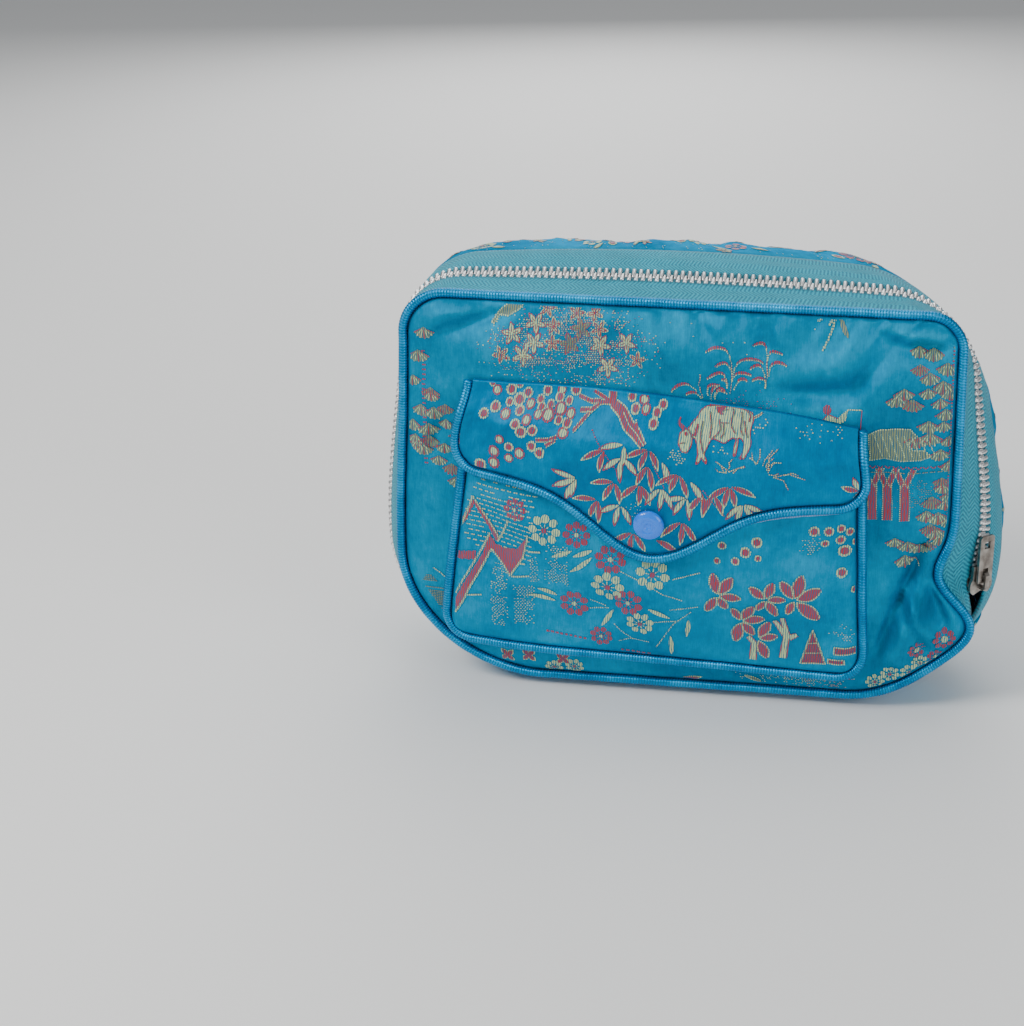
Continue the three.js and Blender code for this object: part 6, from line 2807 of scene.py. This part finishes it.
    def _ox(self) -> None:
        """An ox with its head down to the grass."""
        body = (
            (85.4, 1.3), (86.3, -0.7), (88.3, -2.2), (91.6, -2.7), (95.3, -2.8), (99, -2.7), (102.1, -2.3),
            (104.6, -1.5), (105.2, 0.2), (104.5, 2.5), (104.4, 3.7), (105.1, 6.1), (104.6, 7.9), (103, 10.7),
            (101.7, 10.6), (102.5, 8.6), (102.7, 6.2), (101.4, 5.1), (100.3, 5.1), (100.7, 6.6), (100.1, 9.8),
            (99.2, 10), (99.4, 7.6), (100, 5.4), (98.4, 5.3), (95.9, 7), (93.3, 6.4), (91.5, 6), (90.6, 7.4),
            (89.2, 10.5), (90.5, 13.1), (89.6, 13.5), (88.5, 11.7), (87.6, 14), (86.6, 14), (87.2, 10.9),
            (86.5, 8.3), (85.5, 6.5), (84.5, 6.7), (84.7, 8.4), (83.5, 11), (81.6, 11), (80, 8.5), (80.1, 6.1),
            (81.2, 5.1), (82.7, 4.6), (84.4, 2.2),
        )
        folds = (
            ((87.4, 2.1), (87.2, 4.2), (87.3, 6.5), (88.9, 10.6)), ((89.5, -0.6), (90.6, 3.2), (90.6, 6.1)),
            ((93.1, 1.1), (93.9, 3.7), (92.9, 5.1), (91.5, 6)), ((94.8, 2.2), (95.2, 4.6), (94.2, 5.8)),
            ((97.3, -2.3), (98, -1.2), (97.3, 0.4), (97.5, 2.5), (99.2, 4.2)),
            ((100.6, -1.6), (101, 0.6), (100.7, 2.7), (101.9, 4.5)), ((102.2, -2.1), (103.9, -0.9), (103.5, 1)),
            ((101.9, 0.8), (102.7, 3.3), (103.5, 4.9)), ((95.8, -1.8), (93.6, -1.2)), ((93.8, 2), (96.5, 1.8)),
            ((82.7, 4.7), (84.5, 6.7)), ((80.6, 8.7), (82.2, 8.3)),
        )
        patches = (
            ((88.9, -2.2), (89.7, -3.3), (91.1, -3.4), (91.6, -2.5)),
            ((91.8, -2.4), (95.3, -2.8), (94.2, -1.6), (93.7, -0.9), (94.6, 0.1), (92.8, -0.4), (91.7, -1.3)),
            ((85.7, 3), (86.4, 3.5), (86, 6.1), (83.9, 6.5), (85.1, 5.1)),
        )
        horn = ((81.7, 4.9), (80, 4), (79.1, 3.3), (79.7, 2))
        tail = ((105, -0.2), (106.9, -1.1), (108.1, -2.1))
        hooves = ((87, 13.9), (90, 13.2), (101.8, 10.5), (99.7, 9.8), (82.3, 6))
        grass = (
            ((96.4, 15.9), (95.2, 13.5), (93.3, 12.5)), ((97, 15.5), (98.3, 13.7), (98, 12.3), (99.4, 10.9)),
            ((97.3, 15.8), (94.5, 15.8), (93.4, 14.8)), ((99.4, 15.8), (101.1, 14), (103.4, 13)),
            ((107.3, 12.2), (106.4, 10.9), (104.8, 10.2)), ((107.2, 11.9), (106, 10.6), (105.5, 8.6)),
            ((107.5, 11.8), (108.4, 9.7), (108.3, 7.3)), ((109.5, 12.4), (110, 10.6), (112.9, 7.3)),
            ((110.4, 12.8), (111.2, 11.1), (113.2, 9.7)), ((110.8, 13.9), (111.2, 12.2), (113.8, 11.1)),
            ((111.5, 15.2), (113.4, 15.4), (114.8, 14.6)), ((111.2, 14.7), (111.5, 9.8), (114.7, 7)),
            ((111.5, 13.9), (113, 11), (115.8, 11)), ((113, 16), (116.5, 16.9), (118.1, 20.1)),
            ((113, 16), (118.2, 14.5), (123.6, 16.3)), ((116.9, 15), (119.4, 14.1), (121.5, 14.9)),
            ((98.2, 15.4), (95.4, 13.7), (93.6, 12.5)), ((98.2, 15.4), (100.8, 14), (103.5, 13.4)),
        )
        spots = ((89.8, 7.3), (99.4, 10.9), (103.9, -0.9), (111.7, 5.8), (76.5, 9.4), (86.1, 16.2))
        self.hatch(GOLD, body, 0.5, 0.52)
        self.outline(CRIMSON, body, 0.34, 1)
        for line in folds:
            self.strip(CRIMSON, line, 0.28, 2)
            self.strip(KHAKI, [(u + 0.4, v) for u, v in line], 0.3, 2)
        for patch in patches:
            self.hatch(CRIMSON, patch, 0.45, 0.48, 3)
        self.strip(CRIMSON, horn, (1.2, 1, 0.5), 1)
        self.strip(GOLD, tail, 0.8)
        self.strip(CRIMSON, tail, 0.24, 1)
        for u, v in hooves:
            self.disc(CRIMSON, (u, v), 0.55, 3)
        for low, high in zip(spots[::2], spots[1::2]):
            self.stipple((*low, *high), fill=1.0, pitch=1.0, size=0.55)
        for line in grass:
            self.strip(CRIMSON, line, 0.34)
            self.teeth(GOLD, line, 0.34, 0.7)
        self.stipple((118, -2, 142, 6), fill=0.4, pitch=1.1)


@dataclass
class PocketPattern(Brocade):
    """The pocket's figures: a pavilion by water, chrysanthemums and maples."""

    def draw(self) -> "PocketPattern":
        """Lays the figures.

        Returns:
            The pattern.
        """
        self._pavilion()
        self._chrysanthemums()
        self._maples()
        return self

    def _pavilion(self) -> None:
        """A zigzag roof band over rows of dashes and columns of dotted water."""
        bands = (
            ((4.5, 52.5), (8.6, 43.5), (9.8, 44), (5.6, 53.5)),
            ((8.6, 43.5), (10.1, 44), (18.7, 55.4), (17.5, 57.8)), ((14.7, 55.6), (12.5, 63.7), (3.6, 83.1),
             (3.5, 90.1), (6.9, 83), (15.7, 61.1), (24, 68.8), (28.5, 60.5), (30.3, 50.9), (29, 53.4), (25.8, 58.1),
             (21.4, 59.2), (17.5, 59.1)), ((3.4, 64.8), (10.2, 63.1), (10.2, 66.4), (3.5, 67.9)),
        )
        edges = (
            ((4.5, 54.8), (8.9, 42.2), (10.3, 43.9), (18.5, 56)), ((18, 57.5), (21, 51.2), (22.5, 47.3)),
            ((3.5, 89.3), (6.9, 83), (15.7, 61.1), (24, 68.8), (28.5, 60.5), (30.3, 50.9)),
            ((3.6, 81.4), (12.4, 61.4), (14.7, 55.6)), ((30.6, 57.4), (34.9, 56.5)), ((27.5, 63.3), (30, 62.7)),
            ((24.8, 68.9), (31.3, 67.7)), ((8.3, 80.6), (13.7, 79.2)),
        )
        water = (
            ((17, 65.1), (22.6, 92.5)), ((25.6, 72.5), (32.6, 90.4)), ((31.5, 59), (33.7, 70.8)),
            ((36.7, 53.2), (44.5, 71.1)),
        )
        for row in np.arange(35, 61, 1.85):
            for start in np.arange(5 + (row * 1.7) % 2.3, 31, 2.3):
                if start > 3.5 + abs(row - 52) * 0.36 and self.rng.random() < 0.92:
                    self.strip(GOLD, [(start, row), (start + 1.6, row)], 0.42)
        for band in bands:
            self.hatch(CRIMSON, band, 0.5, 0.5, 1)
        for line in edges:
            self.teeth(GOLD, line, 0.6, 0.82, 2)
        for low, high in water:
            self.stipple((*low, *high), fill=0.97, pitch=1.05, size=0.52, fade=False)

    def _chrysanthemums(self) -> None:
        """Many-petalled flowers among long leaves and dashed stalks."""
        red_mums = (
            (25.2, 42.7, 4.1), (47.2, 48.1, 4.8), (59.5, 55.5, 5.5), (66.5, 71.6, 5.2), (46.8, 77.8, 5.2),
            (57.1, 89.2, 4.1),
        )
        gold_mums = ((36.1, 47.9, 5.5), (59, 66.4, 5.9), (71, 79.8, 4.8), (74.5, 59.2, 5.9))
        leaves = (
            ((39, 57.5), (46, 54.2)), ((46.5, 56.2), (53.1, 53)), ((45.7, 62.6), (53.2, 55.6)),
            ((40.6, 75.3), (33.7, 73.3)), ((40.2, 77.8), (29.9, 76.5)), ((57.1, 84.6), (61.1, 76.7)),
            ((73.6, 73.2), (81.5, 75.8)), ((82.3, 93.4), (81.8, 84)), ((87.3, 84.8), (88.1, 75.8)),
        )
        stalks = (
            ((63.3, 59.6), (71.2, 62.4), (78.3, 66.3), (85.4, 67.6)), ((81.5, 60), (90.7, 55.9)),
            ((81.4, 72.2), (91.4, 69.1)), ((75.9, 78.5), (83.7, 76.7)), ((52.5, 74.9), (58.2, 76)),
            ((52.4, 78.7), (59.6, 76.5)), ((61.8, 82.3), (65.4, 86.3), (68.9, 88.8)),
            ((63.2, 90.5), (67.5, 88.4), (74.8, 88.2)), ((76.8, 90.2), (82.9, 78.1), (89.1, 71.5)),
        )
        for line in stalks:
            self.teeth(GOLD, line, 0.4, 0.75, 0)
        for ends in leaves:
            self.blade(ends, 2.3)
        for u, v, size in red_mums:
            self.blossom((u, v), size, 8, CRIMSON, GOLD, u)
        for u, v, size in gold_mums:
            self.blossom((u, v), size, 8, turn=u)
        for u in np.arange(37, 52, 1.7):
            self.strip(CRIMSON, [(u, 91.4), (u + 1.1, 91.4)], 0.8)
        for u in np.arange(64, 74, 1.9):
            self.strip(CRIMSON, [(u, 94.6), (u + 1.2, 94.6)], 0.8)

    def _maples(self) -> None:
        """Maple sprays on a pale trunk, berries above and a mound in the corner."""
        beads = (
            (109.2, 41.9, 1.9), (105.7, 45.9, 1.9), (102.6, 49.6, 1.5), (110.1, 47.4, 1.2), (96.2, 50.7, 1.2),
            (97.5, 44.8, 1.5), (132.7, 36.3, 1.7), (136.7, 35.3, 1.5), (139.8, 36.6, 1.5), (137, 39.5, 1.7),
            (132, 40.9, 1.4), (142, 40.5, 1.2), (138.9, 43.8, 2.3), (143, 35.8, 1.2), (143.9, 44.4, 1.4),
            (138.7, 51.9, 1.9), (143.7, 58, 1.4), (144.4, 48.8, 0.8), (127.8, 36.4, 1.8),
        )
        maples = (
            ((97.4, 63.5), (95.1, 55.3), (102.1, 55.9), (105.4, 63.9), (93.9, 70.7), (100.9, 69.6)),
            ((113.7, 63.7), (108.1, 58.7), (115.8, 56.2), (120.5, 63), (118, 70.7), (111, 69.3)),
            ((123.5, 62.6), (118.5, 55.3), (125.3, 52.7), (132.3, 58.2), (132.3, 69.7), (121.3, 68.9)),
            ((106, 75), (102.6, 69.3), (109.8, 67.4), (114, 73.3), (110.9, 80.8), (104.4, 84.4)),
            ((112.3, 82.4), (115.8, 74.6), (119, 80.5), (116, 90)),
        )
        trunks = (
            ((121.4, 89.5), (122.1, 78.8), (120, 71.2)), ((122.3, 80.5), (117.5, 73.3)),
            ((122.8, 80.4), (125.6, 78.1)), ((111.1, 91.3), (111.1, 84.3), (108.9, 81.6)),
        )
        mound = ((127.7, 90.8), (130.7, 74.9), (136.4, 89.5))
        bars = (
            ((138.9, 81.8), (148.2, 81.1), (148.4, 83.8), (139.1, 84.7)),
            ((137.2, 87.1), (142.7, 86.6), (142.9, 88.4), (137.4, 88.9)),
        )
        fields = ((122.8, 36), (133.2, 47.3), (135.8, 70.7), (148.8, 80.4))
        for line in trunks:
            self.strip(CRIMSON, line, (3, 1.8))
            self.strip(GOLD, line, (2.2, 1.2), 1)
        for centre, *tips in maples:
            self.maple(centre, tips)
        for u, v, size in beads:
            self.berry((u, v), False, size)
        for low, high in zip(fields[::2], fields[1::2]):
            self.stipple((*low, *high), fill=0.95, pitch=1.0, size=0.5)
        for shape in (mound, *bars):
            self.hatch(CRIMSON, shape, 0.55, 0.46)
            self.teeth(GOLD, [*shape, shape[0]], 0.5, 0.7)
        for row in (0.3, 0.6):
            a, b, c = (np.array(spot) for spot in mound)
            self.teeth(GOLD, [mix(a, b, row), mix(c, b, row)], 0.44, 0.7, 2)


@dataclass
class BackPattern(Brocade):
    """The back panel's figures: the same cloth, cut at another place."""

    def draw(self) -> "BackPattern":
        """Lays the figures.

        Returns:
            The pattern.
        """
        stars = ((-55, 126), (-48, 130), (-47, 122), (-37, 125), (-28, 128), (-21, 121), (-33, 117))
        for du, dv in ((0, 0), (88, -62), (-30, -86)):
            for k, (u, v) in enumerate(stars):
                self.star((u + du, v + dv), 3.6, u, KHAKI if k % 3 == 2 else GOLD)
            self.stipple((-64 + du, 112 + dv, -14 + du, 137 + dv), fill=0.45)
        for u, v in ((30, 128), (10, 86), (-62, 84), (62, 96), (-6, 40), (72, 46)):
            for k, (du, dv) in enumerate(((0, 0), (8, 5), (16, 1), (5, -8), (13, -7))):
                self.bamboo((u + du, v + dv), k % 2 == 0, (-150, -112, -72, -36))
        threads = (KHAKI, GOLD, CRIMSON)
        for u, v in ((-76, 60), (-70, 104), (76, 118), (48, 66), (-36, 66)):
            for k in range(9):
                self.pine((u + 4.8 * (k % 3) + (k // 3) * 2, v + 4.2 * (k // 3)), 4, threads[k % 3])
        flowers = ((-58, 30, 1), (-49, 34, 0), (-50, 26, 0), (24, 26, 1), (33, 22, 0), (16, 20, 0), (-14, 98, 1),
                   (-5, 94, 0))
        for u, v, red in flowers:
            self.blossom((u, v), 5.2, 8, *two_threads(red), turn=u)
        for u, v, turn in ((56, 84, 60), (-24, 104, 110), (-80, 34, 70), (40, 44, 100), (2, 66, 80)):
            self.sprig((u, v), turn)
            self.sprig((u + 3, v - 2), turn - 50, 11)
        sprays = ((34, 108), (-40, 98), (-20, 52), (26, 62), (-27, 20), (82, 76), (-84, 84), (58, 12))
        for k, (u, v) in enumerate(sprays):
            self.maple((u, v), [(u + 7.4 * math.cos(k + 1.25 * j), v + 7.4 * math.sin(k + 1.25 * j)) for j in range(5)])
        for u, v in ((8, 116), (54, 30), (-66, 52)):
            for reach, rise in ((-13, 6), (-9, 12), (8, 13), (13, 7), (-6, 3), (6, 3)):
                self.arc(((u, v), (u + reach * 0.5, v + rise + 3), (u + reach, v + rise)))
        return self


@dataclass
class BandPattern(Brocade):
    """The figures of the strip behind the zip."""

    spans: tuple[tuple[float, float], ...] = ()
    middle: float = 11
    spread: float = 6
    gap: float = 13.5

    def draw(self) -> "BandPattern":
        """Lays the figures along each span.

        Returns:
            The pattern.
        """
        for first, last in self.spans:
            self._span(first, last)
        return self

    def _span(self, first: float, last: float) -> None:
        """Lays the figures between two distances round the ring.

        Args:
            first: where it starts.
            last: where it ends.
        """
        for k, run in enumerate(np.arange(first + 0.9 * self.gap, last - 0.74 * self.gap, self.gap)):
            y = self.middle + self.spread * math.sin(k * 1.9)
            self.blossom((y, run), 3.8, 6 + 2 * (k % 2), *two_threads(k % 3 == 0), turn=run)
            self.leaf((y + 4, run + 3), 6, 70 + 50 * math.sin(k), 1.9, CRIMSON, GOLD)
            self.leaf((y - 3, run - 4), 5.4, 200 + 60 * math.cos(k), 1.9, GOLD, KHAKI)
            self.berry((y + 7 * math.cos(k * 2.3), run + 6), k % 2 == 0, 1.6)
            self.star((y + 8 * math.sin(k * 2.7 + 1), run - 6), 2.9, 40 * k)
        reach = self.spread + 5
        box = (self.middle - reach, first + 6, self.middle + reach, last - 6)
        self.stipple(box, fill=0.16, pitch=1.3, fade=False)


# The picture


@dataclass
class Stage:
    """Camera, lights and floor."""

    azimuth: float = 8.87
    elevation: float = 23.33
    roll: float = -0.14
    distance: float = 800
    focal: float = 2278.9
    centre: tuple[float, float] = (683.4, 492.7)
    picture: tuple[float, float] = (1024, 1026)
    target: Colour = (0, -20, 75)

    def build(self) -> None:
        """Sets up the picture."""
        self._camera()
        self._lights()
        self._floor()

    def _camera(self) -> None:
        """A camera at the photograph's angle."""
        a, e, r = (math.radians(v) for v in (self.azimuth, self.elevation, self.roll))
        ahead = Vector((-math.sin(a) * math.cos(e), math.cos(a) * math.cos(e), -math.sin(e)))
        right = ahead.cross(Vector((0, 0, 1))).normalized()
        up = right.cross(ahead)
        right, up = right * math.cos(r) + up * math.sin(r), up * math.cos(r) - right * math.sin(r)
        camera = bpy.data.objects.new("camera", bpy.data.cameras.new("camera"))
        bpy.context.scene.collection.objects.link(camera)
        turn = Matrix((right, up, -ahead)).transposed().to_4x4()
        place = (Vector(self.target) - ahead * self.distance) * MM
        camera.matrix_world = Matrix.Translation(place) @ turn
        width, height = self.picture
        camera.data.sensor_fit = "HORIZONTAL"
        camera.data.sensor_width = 36
        camera.data.lens = self.focal / width * 36
        camera.data.shift_x = (width / 2 - self.centre[0]) / width
        camera.data.shift_y = (self.centre[1] - height / 2) / width
        camera.data.clip_start = 0.01
        bpy.context.scene.camera = camera

    def _lights(self) -> None:
        """Soft studio light: a broad key from the upper left, a fill and a top light."""
        rows = (
            ("key", (-620, -560, 820), 480, 9.2, (1.0, 0.985, 0.96)),
            ("fill", (760, -620, 420), 700, 4.2, (0.97, 0.99, 1.0)),
            ("top", (40, 240, 900), 800, 3.0, (1, 1, 1)),
            ("rear", (-200, 900, 500), 800, 4.5, (1, 1, 1)),
        )
        for name, spot, size, power, colour in rows:
            data = bpy.data.lights.new(name, "AREA")
            data.shape = "DISK"
            data.size = size * MM
            data.energy = power
            data.color = colour
            light = bpy.data.objects.new(name, data)
            bpy.context.scene.collection.objects.link(light)
            light.location = Vector(spot) * MM
            aim = Vector((0, 0, 70)) - Vector(spot)
            light.rotation_euler = aim.to_track_quat("-Z", "Y").to_euler()
        world = bpy.data.worlds.new("studio")
        world.use_nodes = True
        world.node_tree.nodes["Background"].inputs[0].default_value = (0.86, 0.9, 0.95, 1)
        world.node_tree.nodes["Background"].inputs[1].default_value = 0.27
        bpy.context.scene.world = world

    def _floor(self) -> None:
        """A plain pale floor."""
        size = 4000
        points = np.array([(-size, -size, 0), (size, -size, 0), (size, size, 0), (-size, size, 0)])
        floor = make_mesh("floor", points, np.array([[0, 1, 2, 3]]), False)
        material = bpy.data.materials.new("floor")
        material.use_nodes = True
        shader = material.node_tree.nodes["Principled BSDF"]
        shader.inputs["Base Color"].default_value = (0.86, 0.86, 0.85, 1)
        shader.inputs["Roughness"].default_value = 0.85
        floor.data.materials.append(material)


def main() -> None:
    """Builds the sub-assemblies in order and reports each piece."""
    logging.basicConfig(level=logging.INFO, format="%(message)s")
    form = PurseForm()
    looks = Wardrobe().dress()
    for kind in (Panels, Gusset, Zip, Pocket):
        for piece in kind(form, looks).build():
            LOG.info("%s: %s, %d faces", kind.__name__, piece.name, len(piece.data.polygons))
    for node in ("zip_slider", "pull_tab"):
        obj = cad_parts[node]
        obj.data.materials.clear()
        obj.data.materials.append(looks["pull"])
    Stage().build()


if __name__ == "__main__":
    main()
